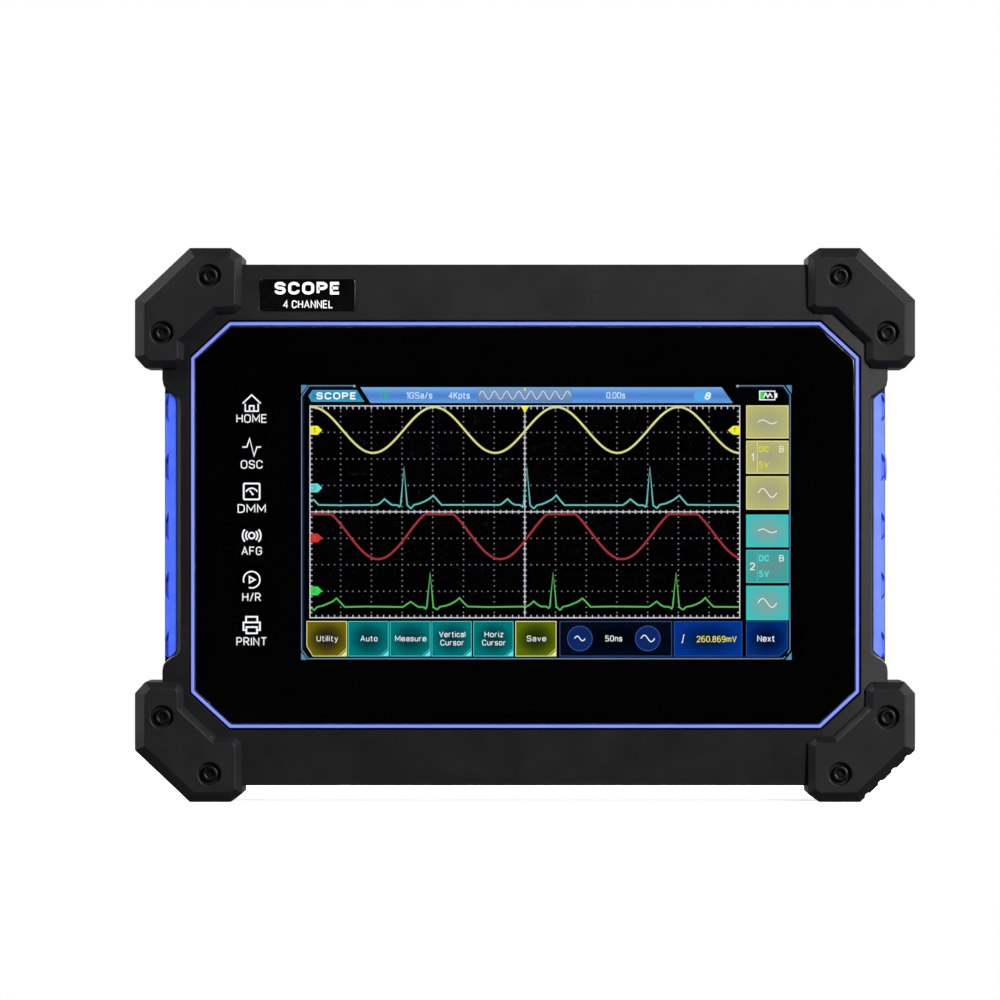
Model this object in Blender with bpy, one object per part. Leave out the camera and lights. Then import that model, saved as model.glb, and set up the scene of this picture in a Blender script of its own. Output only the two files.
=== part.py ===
"""Tablet oscilloscope: a rugged handheld oscilloscope with a touch screen, built as separate pieces.

The object stands upright on its two lower corner guards, with the screen towards -Y and +Z up.
All sizes below are millimetres, measured from the middle of the case: x to the viewer's right,
y from front to back, z up. The empty "assembly" lifts that centre to half the overall height, so
the origin of the scene is under the object's middle, on the surface that it stands on.
"""

import math

import bmesh
import bpy
from mathutils import Vector

MM = 0.001

# Driving dimensions of the whole object.
WIDTH = 265.0
HEIGHT = 188.2
DEPTH = 50.0
GAP = 0.3  # play between neighbouring solids
GUARD_PROUD = 4.0  # how far the corner guards stand in front of and behind the case

# Depths of the case, from front to back.
CASE_FRONT = -DEPTH / 2 + GUARD_PROUD
CASE_BACK = DEPTH / 2 - GUARD_PROUD
PARTING = -7.7  # back edge of the front bezel
REAR_EDGE = PARTING + GAP  # front edge of the rear cover
GRIP_BACK = 1.3  # where the hand grips end
BEZEL_WALL_BACK = -15.7
REAR_WALL_INNER = CASE_BACK - 4.0

# Glass, trim ring and display.
RING_HALF = (113.8, 69.3)
RING_CUT = (13.3, 12.3)
RING_WIDTH = 1.8
GLASS_FRONT = -20.9
GLASS_BACK = -19.1
GLASS_SEAT = -18.0
DISPLAY_CENTRE = (7.3, 0.85)
DISPLAY_HALF = (83.4, 46.8)  # lit area
TRAY_HALF = (88.0, 52.5)

# Connector bay in the top of the rear cover.
BAY_FLOOR = 70.5
BAY_FRONT = -5.2
BAY_HALF_WIDTH = 94.0
PANEL_THICKNESS = 1.5
CONNECTOR_Y = 6.0
BNC_PITCH = 23.0
BNC_FIRST_X = -82.0
JACK_PITCH = 18.0
JACK_FIRST_X = 28.0

# Kickstand.
STAND_HALF_WIDTH = 56.0
STAND_AXIS = (0.0, 18.6, 8.0)
STAND_REACH = 78.0
STAND_THICKNESS = 3.6
STAND_BARREL_R = 2.4
STAND_PIN_R = 1.45

# Battery bay in the back.
DOOR_HALF_WIDTH = 52.0
DOOR_BOTTOM = 14.0
DOOR_TOP = 64.0
DOOR_SCREW = (46.0, 60.4)

# Port door on the left side.
PORT_AXIS = (-122.0, 17.2, 0.0)
PORT_HALF_LENGTH = 33.2
PORT_RECESS_X = -120.6
PORT_BARREL_R = 1.15
PORT_PIN_R = 0.55

# Screws through the corner guards, for the upper right corner.
GUARD_SCREWS = ((107.0, 84.5), (123.1, 65.2))
CASE_SCREW = (115.0, 74.9)
HEAD_R = 2.75
HEAD_HEIGHT = 1.6
SHANK_R = 1.5
SCREW_SEAT = 2.6  # depth of the counterbore below the guard's face

# Case outline, upper right quarter, from the top edge round to the side.
CASE_QUARTER = ((111.4, 88.5), (128.2, 73.2), (128.2, 57.0), (123.3, 57.0))
NOTCH_QUARTER = ((123.3, 49.7), (122.9, 47.1), (121.1, 45.5), (118.4, 43.5), (118.2, 40.5))
BEZEL_CHAMFERS = (0.5, 0.5, 0.5, 0.5, 0.5, 0.9, 0.9, 1.65)
BEZEL_SIDE_CHAMFER = 1.6
CAVITY_QUARTER = ((97.0, 85.8), (115.6, 56.0))
REAR_CAVITY_TOP = ((105.0, 66.5), (115.6, 56.0))

# Corner guard outline, upper right corner, and how far each edge is chamfered.
GUARD_OUTLINE = (
    (99.95, 94.1), (113.9, 94.1), (132.5, 76.5), (132.5, 57.1), (129.1, 53.3), (117.9, 53.3),
    (115.7, 55.9), (115.7, 61.6), (104.9, 71.7), (98.3, 71.9), (96.1, 74.1), (96.1, 91.4),
)  # fmt: skip
GUARD_CHAMFERS = (3.2, 3.4, 3.5, 3.0, 2.4, 2.2, 2.2, 2.2, 2.2, 2.2, 2.3, 2.8)
GUARD_CHAMFER_DEPTH = 3.0
CORNERS = {
    "upper_right": (1, 1),
    "upper_left": (-1, 1),
    "lower_left": (-1, -1),
    "lower_right": (1, -1),
}


# ---------------------------------------------------------------- materials


def material(name, colour, roughness, metallic=0.0):
    made = bpy.data.materials.new(name)
    made.use_nodes = True
    shader = made.node_tree.nodes["Principled BSDF"]
    shader.inputs["Base Color"].default_value = (*colour, 1.0)
    shader.inputs["Roughness"].default_value = roughness
    shader.inputs["Metallic"].default_value = metallic
    made.diffuse_color = (*colour, 1.0)
    return made


def make_materials():
    return {
        "case": material("case_plastic", (0.030, 0.030, 0.031), 0.55),
        "guard": material("guard_elastomer", (0.022, 0.022, 0.023), 0.62),
        "grip": material("grip_rubber", (0.060, 0.130, 0.720), 0.55),
        "trim": material("trim_blue", (0.180, 0.250, 0.780), 0.35),
        "glass": material("cover_glass", (0.003, 0.003, 0.004), 0.05),
        "screw": material("black_steel", (0.012, 0.012, 0.013), 0.40, 0.8),
        "nickel": material("nickel_plate", (0.620, 0.610, 0.580), 0.25, 1.0),
        "steel": material("sheet_steel", (0.500, 0.500, 0.510), 0.40, 1.0),
        "aluminium": material("aluminium", (0.640, 0.640, 0.650), 0.45, 1.0),
        "board": material("circuit_board", (0.010, 0.110, 0.040), 0.45),
        "black": material("black_nylon", (0.015, 0.015, 0.016), 0.45),
        "red": material("red_nylon", (0.500, 0.020, 0.020), 0.45),
        "seal": material("silicone_seal", (0.080, 0.080, 0.085), 0.80),
        "battery": material("battery_wrap", (0.020, 0.060, 0.200), 0.50),
        "display": material("display_panel", (0.010, 0.012, 0.016), 0.20),
        "badge": material("badge_gloss", (0.004, 0.004, 0.004), 0.15),
    }


# ---------------------------------------------------------------- outlines


def four_way(quarter):
    """A whole outline from its upper right quarter, which runs from the top edge to the side."""
    upper_right = list(quarter)
    lower_right = [(x, -z) for x, z in reversed(quarter)]
    lower_left = [(-x, -z) for x, z in quarter]
    upper_left = [(-x, z) for x, z in reversed(quarter)]
    return upper_right + lower_right + lower_left + upper_left


def four_way_edges(inner, side, top):
    """One value for each edge of a four_way outline, from those of its quarter."""
    inner = list(inner)
    half = inner + [side] + inner[::-1] + [top]
    return half + half


def inset(points, distances):
    """The outline moved inwards, each edge by its own distance. A negative distance moves it out."""
    count = len(points)
    if not hasattr(distances, "__len__"):
        distances = [distances] * count
    twice_area = sum(
        points[i][0] * points[(i + 1) % count][1] - points[(i + 1) % count][0] * points[i][1]
        for i in range(count)
    )
    turn = 1 if twice_area > 0 else -1
    lines = []
    for i, distance in enumerate(distances):
        start = Vector(points[i])
        along = (Vector(points[(i + 1) % count]) - start).normalized()
        inward = Vector((-along.y, along.x)) * turn
        lines.append((start + inward * distance, along))
    moved = []
    for i in range(count):
        (p, a), (q, b) = lines[i - 1], lines[i]
        cross = a.x * b.y - a.y * b.x
        step = ((q - p).x * b.y - (q - p).y * b.x) / cross
        moved.append(tuple(p + a * step))
    return moved


def cut_corner_box(half, cut, centre=(0.0, 0.0)):
    """A rectangle with its four corners cut off."""
    quarter = ((half[0] - cut[0], half[1]), (half[0], half[1] - cut[1]))
    return [(x + centre[0], z + centre[1]) for x, z in four_way(quarter)]


def circle(radius, segments, centre=(0.0, 0.0)):
    turn = 2 * math.pi / segments
    return [
        (centre[0] + radius * math.cos(i * turn), centre[1] + radius * math.sin(i * turn))
        for i in range(segments)
    ]


def rectangle(low, high):
    return [(low[0], low[1]), (high[0], low[1]), (high[0], high[1]), (low[0], high[1])]


CASE_FULL = four_way(CASE_QUARTER)
CASE_NOTCHED = four_way(CASE_QUARTER + NOTCH_QUARTER)


# ---------------------------------------------------------------- solids


def place(u, v, along, axis):
    """A point from its two outline coordinates and its place along the extrusion axis."""
    if axis == "x":
        return (along, u, v)
    if axis == "y":
        return (u, along, v)
    return (u, v, along)


def add_loft(bm, sections, axis="y"):
    """Adds a closed solid through outlines that have the same number of points."""
    rings = [[bm.verts.new(place(u, v, along, axis)) for u, v in points] for points, along in sections]
    for lower, upper in zip(rings, rings[1:]):
        for i in range(len(lower)):
            j = (i + 1) % len(lower)
            bm.faces.new((lower[i], lower[j], upper[j], upper[i]))
    bm.faces.new(rings[0])
    bm.faces.new(rings[-1][::-1])


def add_prism(bm, points, start, end, axis="y"):
    add_loft(bm, [(points, start), (points, end)], axis)


def add_block(bm, low, high):
    add_prism(bm, rectangle(low[:2], high[:2]), low[2], high[2], "z")


def add_turned(bm, profile, segments, centre=(0.0, 0.0, 0.0), axis="z"):
    """Adds a solid turned from (radius, height) points that start and end on the axis."""
    rings = []
    for radius, height in profile:
        if radius == 0:
            spots = [(0.0, 0.0)]
        else:
            spots = circle(radius, segments)
        rings.append([bm.verts.new(Vector(place(u, v, height, axis)) + Vector(centre)) for u, v in spots])
    for lower, upper in zip(rings, rings[1:]):
        for i in range(segments):
            j = (i + 1) % segments
            corners = [lower[i % len(lower)], lower[j % len(lower)], upper[j % len(upper)], upper[i % len(upper)]]
            bm.faces.new(list(dict.fromkeys(corners)))


def add_ring(bm, outer, inner, start, end, axis="y"):
    """Adds a solid between two outlines with the same number of points."""
    rings = [
        [bm.verts.new(place(u, v, along, axis)) for u, v in points]
        for points, along in ((outer, start), (outer, end), (inner, end), (inner, start))
    ]
    for i, ring in enumerate(rings):
        following = rings[(i + 1) % len(rings)]
        for j in range(len(ring)):
            k = (j + 1) % len(ring)
            bm.faces.new((ring[j], ring[k], following[k], following[j]))


class Builder:
    """Makes named objects under the assembly empty, in millimetres from the middle of the case."""

    def __init__(self):
        self.materials = make_materials()
        self.assembly = bpy.data.objects.new("assembly", None)
        bpy.context.collection.objects.link(self.assembly)
        self.assembly.location = (0.0, 0.0, HEIGHT / 2 * MM)

    def solid(self, name, slot, draw, at=(0.0, 0.0, 0.0)):
        """An object whose mesh draw(bm) makes, in millimetres from the point at."""
        bm = bmesh.new()
        draw(bm)
        bmesh.ops.recalc_face_normals(bm, faces=bm.faces)
        if bm.calc_volume(signed=True) < 0:
            bmesh.ops.reverse_faces(bm, faces=bm.faces)
        bmesh.ops.scale(bm, vec=(MM, MM, MM), verts=bm.verts)
        mesh = bpy.data.meshes.new(name)
        bm.to_mesh(mesh)
        bm.free()
        if slot:
            mesh.materials.append(self.materials[slot])
        made = bpy.data.objects.new(name, mesh)
        bpy.context.collection.objects.link(made)
        made.parent = self.assembly
        made.location = Vector(at) * MM
        return made

    def combine(self, target, operation, draw):
        """Cuts from the target, or joins to it, what draw(bm) makes in the target's own coordinates."""
        tool = self.solid(f"{target.name}_{operation.lower()}", None, draw)
        tool.parent = target
        tool.location = (0.0, 0.0, 0.0)
        tool.hide_render = True
        tool.display_type = "WIRE"
        modifier = target.modifiers.new(tool.name, "BOOLEAN")
        modifier.operation = operation
        modifier.solver = "EXACT"
        modifier.object = tool
        return target

    def cut(self, target, draw):
        return self.combine(target, "DIFFERENCE", draw)

    def join(self, target, draw):
        return self.combine(target, "UNION", draw)


def mirrored(point, signs):
    return (point[0] * signs[0], point[1] * signs[1])


# ---------------------------------------------------------------- front


def front_bezel(build):
    edges = four_way_edges(BEZEL_CHAMFERS, BEZEL_SIDE_CHAMFER, BEZEL_CHAMFERS[0])
    face = inset(CASE_NOTCHED, edges)

    def body(bm):
        add_loft(bm, [(face, CASE_FRONT), (CASE_NOTCHED, CASE_FRONT + 1.2), (CASE_NOTCHED, PARTING)])

    def hollow(bm):
        add_prism(bm, four_way(CAVITY_QUARTER), BEZEL_WALL_BACK, PARTING + 2)

    def window(bm):
        seat = inset(cut_corner_box(RING_HALF, RING_CUT), -GAP)
        add_prism(bm, seat, CASE_FRONT - 1, GLASS_SEAT)

    def display_opening(bm):
        half = (TRAY_HALF[0] + 0.4, TRAY_HALF[1] + 0.4)
        low = (DISPLAY_CENTRE[0] - half[0], DISPLAY_CENTRE[1] - half[1])
        high = (DISPLAY_CENTRE[0] + half[0], DISPLAY_CENTRE[1] + half[1])
        add_prism(bm, rectangle(low, high), GLASS_SEAT - 1, BEZEL_WALL_BACK + 1)

    def badge_recess_and_screw_holes(bm):
        low, high = (-90.2, 72.55), (-57.35, 83.85)
        add_prism(bm, rectangle(low, high), CASE_FRONT - 1, CASE_FRONT + 0.6)
        for signs in CORNERS.values():
            for screw in GUARD_SCREWS:
                add_prism(bm, circle(SHANK_R + GAP, 8, mirrored(screw, signs)), CASE_FRONT - 1, -12.2)
            hole = circle(SHANK_R + GAP, 8, mirrored(CASE_SCREW, signs))
            add_prism(bm, hole, -14.4, PARTING + 1)

    bezel = build.solid("front_bezel", "case", body)
    build.cut(bezel, hollow)
    build.cut(bezel, window)
    build.cut(bezel, display_opening)
    build.cut(bezel, badge_recess_and_screw_holes)


def glass_and_trim(build):
    outer = cut_corner_box(RING_HALF, RING_CUT)
    inner = inset(outer, RING_WIDTH)

    def ring(bm):
        crest_out, crest_in = inset(outer, 0.45), inset(inner, -0.35)
        levels = (
            (outer, GLASS_SEAT - GAP), (outer, CASE_FRONT), (crest_out, CASE_FRONT - 0.45),
            (crest_in, CASE_FRONT - 0.45), (inner, CASE_FRONT + 0.05), (inner, GLASS_SEAT - GAP),
        )  # fmt: skip
        rings = [[bm.verts.new((x, y, z)) for x, z in points] for points, y in levels]
        for i, ring_verts in enumerate(rings):
            following = rings[(i + 1) % len(rings)]
            for j in range(len(ring_verts)):
                k = (j + 1) % len(ring_verts)
                bm.faces.new((ring_verts[j], ring_verts[k], following[k], following[j]))

    glass = inset(inner, 0.2)
    glass_face = inset(glass, 0.3)

    def pane(bm):
        add_loft(bm, [(glass_face, GLASS_FRONT), (glass, GLASS_FRONT + 0.3), (glass, GLASS_BACK)])

    def gasket(bm):
        add_ring(bm, inset(glass, 0.3), inset(glass, 4.3), GLASS_BACK + GAP, GLASS_SEAT - GAP)

    def badge(bm):
        outline = cut_corner_box((16.15, 5.4), (0.8, 0.8), (-73.8, 78.2))
        add_prism(bm, outline, CASE_FRONT - 0.15, CASE_FRONT + 0.35)

    build.solid("trim_ring", "trim", ring)
    build.solid("touch_glass", "glass", pane)
    build.solid("glass_gasket", "seal", gasket)
    build.solid("name_badge", "badge", badge)


def display(build):
    cx, cz = DISPLAY_CENTRE
    front, back = GLASS_BACK + GAP, -13.5
    panel_half = (TRAY_HALF[0] - 1.4, TRAY_HALF[1] - 1.4)

    def centred(half):
        return rectangle((cx - half[0], cz - half[1]), (cx + half[0], cz + half[1]))

    tray = build.solid("display_tray", "steel", lambda bm: add_prism(bm, centred(TRAY_HALF), front, back))
    pocket = (panel_half[0] + GAP, panel_half[1] + GAP)
    build.cut(tray, lambda bm: add_prism(bm, centred(pocket), front - 1, back - 1.0))
    build.solid(
        "display_panel",
        "display",
        lambda bm: add_prism(bm, centred(panel_half), front + 0.2, back - 1.3),
    )

    def clamp(bm):
        strap = (
            (back + 0.3, -62.0), (back + 1.3, -62.0), (back + 1.3, 62.0), (back + 0.3, 62.0),
        )  # fmt: skip
        foot = BEZEL_WALL_BACK + GAP
        outline = [
            strap[1], strap[2], (foot, 62.0), (foot, 57.0), (back + 0.3, 57.0),
            (back + 0.3, -57.0), (foot, -57.0), (foot, -62.0),
        ]  # fmt: skip
        add_prism(bm, outline, -6.0, 6.0, "x")

    for name, x in (("display_clamp_left", -58.0), ("display_clamp_right", 72.0)):
        build.solid(name, "steel", clamp, at=(x, 0.0, 0.0))


def touch_key_board(build):
    def board(bm):
        add_block(bm, (-101.0, BEZEL_WALL_BACK + GAP, -52.0), (-85.0, BEZEL_WALL_BACK + 1.5, 52.0))

    build.solid("touch_key_board", "board", board)


# ---------------------------------------------------------------- corner guards and screws


def corner_guards(build):
    cavity = inset(CASE_FULL, -GAP)
    face = inset(list(GUARD_OUTLINE), GUARD_CHAMFERS)
    front, back = -DEPTH / 2, DEPTH / 2

    for corner, signs in CORNERS.items():
        outer = [mirrored(p, signs) for p in GUARD_OUTLINE]
        top = [mirrored(p, signs) for p in face]

        def body(bm):
            add_loft(
                bm,
                [
                    (top, front),
                    (outer, front + GUARD_CHAMFER_DEPTH),
                    (outer, back - GUARD_CHAMFER_DEPTH),
                    (top, back),
                ],
            )

        def case_space(bm):
            add_prism(bm, cavity, CASE_FRONT - GAP, CASE_BACK + GAP)

        def screw_holes(bm):
            for screw in GUARD_SCREWS:
                centre = mirrored(screw, signs)
                add_loft(
                    bm,
                    [
                        (circle(3.8, 14, centre), front - 1),
                        (circle(3.8, 14, centre), front + SCREW_SEAT),
                        (circle(SHANK_R + 0.35, 14, centre), front + SCREW_SEAT),
                        (circle(SHANK_R + 0.35, 14, centre), CASE_FRONT + 1),
                    ],
                )
            centre = mirrored(CASE_SCREW, signs)
            add_loft(
                bm,
                [
                    (circle(3.8, 14, centre), back + 1),
                    (circle(3.8, 14, centre), back - SCREW_SEAT),
                    (circle(SHANK_R + 0.35, 14, centre), back - SCREW_SEAT),
                    (circle(SHANK_R + 0.35, 14, centre), CASE_BACK - 1),
                ],
            )

        guard = build.solid(f"corner_guard_{corner}", "guard", body)
        build.cut(guard, case_space)
        build.cut(guard, screw_holes)
        if corner == "lower_right":
            grip_grooves(build, guard)


def grip_grooves(build, guard):
    """Four shallow grooves across the slanting face of one guard."""
    start, end = Vector((132.5, -76.5)), Vector((113.9, -94.1))
    along = (end - start).normalized()
    outward = Vector((-along.y, along.x)) * -1
    if outward.x < 0:
        outward = -outward

    def grooves(bm):
        for i in range(4):
            middle = start + along * (6.2 + 6.2 * i - 2.4)
            corners = [
                middle + along * 1.1 + outward * 1.0,
                middle + along * 0.5 - outward * 0.6,
                middle - along * 0.9 - outward * 0.6,
                middle - along * 1.5 + outward * 1.0,
            ]
            add_prism(bm, [tuple(c) for c in corners], -DEPTH / 2 - 1, DEPTH / 2 + 1)

    build.cut(guard, grooves)


def screw(build, name, slot, at, facing, shank_length, head_r=HEAD_R, head_h=HEAD_HEIGHT, shank_r=SHANK_R):
    """A socket-head screw with its head's underside at the point at. Facing is -1 or 1: its head's side in y."""
    profile = (
        (0.0, -shank_length * facing), (shank_r, -shank_length * facing), (shank_r, 0.0), (head_r, 0.0),
        (head_r, (head_h - 0.35) * facing), (head_r - 0.35, head_h * facing), (0.0, head_h * facing),
    )  # fmt: skip
    made = build.solid(name, slot, lambda bm: add_turned(bm, profile, 12, axis="y"), at=at)

    def socket(bm):
        add_prism(bm, circle(head_r * 0.5, 6), (head_h - 1.0) * facing, (head_h + 1) * facing)

    build.cut(made, socket)


def screws(build):
    for corner, signs in CORNERS.items():
        for number, spot in enumerate(GUARD_SCREWS, 1):
            x, z = mirrored(spot, signs)
            seat = -DEPTH / 2 + SCREW_SEAT - 0.2
            screw(build, f"guard_screw_{corner}_{number}", "screw", (x, seat, z), -1, 10.0)
        x, z = mirrored(CASE_SCREW, signs)
        seat = DEPTH / 2 - SCREW_SEAT + 0.2
        screw(build, f"case_screw_{corner}", "screw", (x, seat, z), 1, 36.5)
    for side, sign in (("left", -1), ("right", 1)):
        at = (DOOR_SCREW[0] * sign, CASE_BACK - 1.4, DOOR_SCREW[1])
        screw(build, f"battery_door_screw_{side}", "nickel", at, 1, 7.0, 2.3, 1.2, 1.2)


# ---------------------------------------------------------------- rear cover


def rear_cover(build):
    top = [(-x, z) for x, z in REAR_CAVITY_TOP][::-1] + list(REAR_CAVITY_TOP)
    bottom = [(x, -z) for x, z in CAVITY_QUARTER[::-1]] + [(-x, -z) for x, z in CAVITY_QUARTER]
    cavity = top + bottom
    slot_half = 17.0

    def body(bm):
        edge = inset(CASE_FULL, 2.0)
        add_loft(bm, [(CASE_FULL, REAR_EDGE), (CASE_FULL, CASE_BACK - 2.0), (edge, CASE_BACK)])

    def hollow(bm):
        add_prism(bm, cavity, REAR_EDGE - 1, REAR_WALL_INNER)

    def thickening(bm):
        """Material behind the kickstand's recess and under the battery door's screws."""
        add_block(bm, (-61.5, 13.8, -75.5), (61.5, REAR_WALL_INNER + 0.5, 13.2))
        for sign in (-1, 1):
            inner, outer = DOOR_SCREW[0] - 4.0, DOOR_SCREW[0] + 4.0
            low, high = sorted((inner * sign, outer * sign))
            add_block(bm, (low, 12.2, 57.0), (high, REAR_WALL_INNER + 0.5, 67.0))

    def hand_grip_notches(bm):
        inner = [(x, z) for x, z in NOTCH_QUARTER[1:]]
        right = [(126.0, 48.6)] + inner + [(x, -z) for x, z in reversed(inner)] + [(126.0, -48.6)]
        for sign in (-1, 1):
            add_prism(bm, [(x * sign, z) for x, z in right], REAR_EDGE - 1, GRIP_BACK)

    def bay(bm):
        add_block(bm, (-BAY_HALF_WIDTH, BAY_FRONT, BAY_FLOOR), (BAY_HALF_WIDTH, CASE_BACK + 1, 90.0))

    def bay_holes(bm):
        for i in range(5):
            centre = (BNC_FIRST_X + i * BNC_PITCH, CONNECTOR_Y)
            add_prism(bm, circle(4.8, 14, centre), 65.0, BAY_FLOOR + 1, "z")
        for i in range(4):
            centre = (JACK_FIRST_X + i * JACK_PITCH, CONNECTOR_Y)
            add_prism(bm, circle(5.8, 14, centre), 65.0, BAY_FLOOR + 1, "z")

    def stand_recess(bm):
        half = STAND_HALF_WIDTH + 1.0
        outer = CASE_BACK + 1
        outline = (
            (outer, -72.0), (16.3, -72.0), (16.3, 4.0), (15.8, 4.6), (15.8, 11.2), (outer, 11.2),
        )  # fmt: skip
        add_prism(bm, outline, -half, half, "x")

    def stand_details(bm):
        """The finger notch under the kickstand's end, and the holes for its hinge pin."""
        add_block(bm, (-13.0, 16.5, -79.0), (13.0, CASE_BACK + 1, -71.0))
        pin_hole = circle(STAND_PIN_R + 0.3, 12, STAND_AXIS[1:])
        for sign in (-1, 1):
            ends = sorted((sign * (STAND_HALF_WIDTH + 0.5), sign * (STAND_HALF_WIDTH + 4.5)))
            add_prism(bm, pin_hole, *ends, "x")

    def battery_opening(bm):
        low = (-DOOR_HALF_WIDTH, CASE_BACK - 3.0, DOOR_BOTTOM)
        add_block(bm, low, (DOOR_HALF_WIDTH, CASE_BACK + 1, DOOR_TOP))

    def battery_opening_inner(bm):
        half = DOOR_HALF_WIDTH - 3.0
        add_block(bm, (-half, 15.0, DOOR_BOTTOM + 2.0), (half, CASE_BACK, DOOR_TOP - 7.5))

    def openings(bm):
        """Vents, speaker slots, screw holes, and the power button's stepped hole."""
        for x in (-80.0, 80.0):
            for i in range(7):
                z = 23.0 + 5.0 * i
                add_block(bm, (x - slot_half, 15.0, z - 1.3), (x + slot_half, CASE_BACK + 1, z + 1.3))
        for i in range(5):
            z = -63.0 + 4.0 * i
            add_block(bm, (-93.0, 15.0, z - 1.0), (-77.0, CASE_BACK + 1, z + 1.0))
        for signs in CORNERS.values():
            hole = circle(SHANK_R + GAP, 8, mirrored(CASE_SCREW, signs))
            add_prism(bm, hole, REAR_EDGE - 1, CASE_BACK + 1)
        for sign in (-1, 1):
            hole = circle(1.5, 8, (sign * DOOR_SCREW[0], DOOR_SCREW[1]))
            add_prism(bm, hole, 11.0, CASE_BACK - 2.0)
        centre = (BUTTON_AT[1], BUTTON_AT[2])
        add_loft(
            bm,
            [
                (circle(6.6, 16, centre), 114.0), (circle(6.6, 16, centre), 119.6),
                (circle(5.2, 16, centre), 119.6), (circle(5.2, 16, centre), 125.0),
            ],
            "x",
        )  # fmt: skip

    def port_recess(bm):
        add_block(bm, (-125.0, 3.4, -PORT_HALF_LENGTH), (PORT_RECESS_X, 18.9, PORT_HALF_LENGTH))

    def port_holes(bm):
        for _, z, half_y, half_z in PORTS:
            low = (PORT_RECESS_X - 1, PORT_BOARD + GAP - 0.2, z - half_z - 0.25)
            add_block(bm, low, (-114.0, PORT_BOARD + GAP + 2 * half_y + 0.25, z + half_z + 0.25))
        pin_hole = circle(PORT_PIN_R + 0.2, 8, PORT_AXIS[:2])
        for sign in (-1, 1):
            ends = sorted((sign * (PORT_HALF_LENGTH - 0.5), sign * (PORT_HALF_LENGTH + 2.3)))
            add_prism(bm, pin_hole, *ends, "z")

    cover = build.solid("rear_cover", "case", body)
    build.cut(cover, hollow)
    build.join(cover, thickening)
    for cutter in (
        hand_grip_notches, bay, bay_holes, stand_recess, stand_details, battery_opening,
        battery_opening_inner, openings, port_recess, port_holes,
    ):  # fmt: skip
        build.cut(cover, cutter)


def hand_grips(build):
    """Rubber side grips with a row of finger notches along the front edge."""
    section = ((118.5, 43.2), (121.6, 45.3), (122.3, 44.4))
    outline = list(section) + [(x, -z) for x, z in reversed(section)]
    front, back = -18.2, GRIP_BACK - GAP
    pitch, count, half_tall, depth = 20.2, 5, 5.0, 0.9
    first = 39.4

    for name, sign in (("hand_grip_left", -1), ("hand_grip_right", 1)):

        def body(bm):
            face = [(x - 0.8 if x > 120 else x, z) for x, z in outline]
            add_loft(
                bm,
                [([(sign * x, z) for x, z in face], front)]
                + [([(sign * x, z) for x, z in outline], y) for y in (front + 0.8, back)],
            )

        def notches(bm):
            for i in range(count):
                z = first - pitch * i
                shape = (
                    (sign * 124.0, z + half_tall + 3.0), (sign * (122.3 - depth), z + half_tall - 2.8),
                    (sign * (122.3 - depth), z - half_tall + 2.8), (sign * 124.0, z - half_tall - 3.0),
                )  # fmt: skip
                add_prism(bm, shape, front - 1, front + 7.5)
                add_prism(bm, shape, front + 10.5, back + 1)

        grip = build.solid(name, "grip", body)
        build.cut(grip, notches)


# ---------------------------------------------------------------- connectors on the top


def connector_panel(build):
    def plate(bm):
        low = (-BAY_HALF_WIDTH + GAP, BAY_FRONT + GAP, BAY_FLOOR + 0.2)
        add_block(bm, low, (BAY_HALF_WIDTH - GAP, 17.0, BAY_FLOOR + PANEL_THICKNESS))

    def holes(bm):
        for i in range(5):
            centre = (BNC_FIRST_X + i * BNC_PITCH, CONNECTOR_Y)
            add_prism(bm, circle(4.8, 14, centre), BAY_FLOOR - 1, BAY_FLOOR + 4, "z")
        for i in range(4):
            centre = (JACK_FIRST_X + i * JACK_PITCH, CONNECTOR_Y)
            add_prism(bm, circle(5.8, 14, centre), BAY_FLOOR - 1, BAY_FLOOR + 4, "z")

    panel = build.solid("connector_panel", "black", plate)
    build.cut(panel, holes)


def bnc_sockets(build):
    """Five bayonet sockets: four inputs and the signal generator's output."""
    profile = (
        (0.0, -8.0), (4.4, -8.0), (4.4, 0.2), (6.9, 0.2), (6.9, 2.4), (4.8, 2.4),
        (4.8, 14.0), (4.1, 14.0), (4.1, 5.0), (0.9, 5.0), (0.9, 11.5), (0.0, 11.5),
    )  # fmt: skip

    def lugs(bm):
        add_prism(bm, circle(1.0, 6, (0.0, 11.0)), -5.9, -4.4, "x")
        add_prism(bm, circle(1.0, 6, (0.0, 11.0)), 4.4, 5.9, "x")

    names = ("bnc_channel_1", "bnc_channel_2", "bnc_channel_3", "bnc_channel_4", "bnc_generator")
    for i, name in enumerate(names):
        at = (BNC_FIRST_X + i * BNC_PITCH, CONNECTOR_Y, BAY_FLOOR + PANEL_THICKNESS)
        socket = build.solid(name, "nickel", lambda bm: add_turned(bm, profile, 14), at=at)
        build.join(socket, lugs)


def multimeter_jacks(build):
    """Four shrouded 4 mm jacks for the multimeter's leads."""
    profile = (
        (0.0, -8.0), (5.4, -8.0), (5.4, 0.2), (7.2, 0.2), (7.2, 2.0), (6.0, 2.0), (6.0, 9.4),
        (4.7, 9.4), (4.7, 0.8), (3.4, 0.8), (3.4, 8.0), (2.05, 8.0), (2.05, -4.0), (0.0, -4.0),
    )  # fmt: skip
    pieces = (("jack_ampere", "red"), ("jack_milliampere", "red"), ("jack_common", "black"), ("jack_volt", "red"))
    for i, (name, slot) in enumerate(pieces):
        at = (JACK_FIRST_X + i * JACK_PITCH, CONNECTOR_Y, BAY_FLOOR + PANEL_THICKNESS)
        build.solid(name, slot, lambda bm: add_turned(bm, profile, 14), at=at)


# ---------------------------------------------------------------- side ports

PORT_BOARD = 5.4  # back face of the small board that carries the ports
PORT_MOUTH = -120.3
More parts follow.
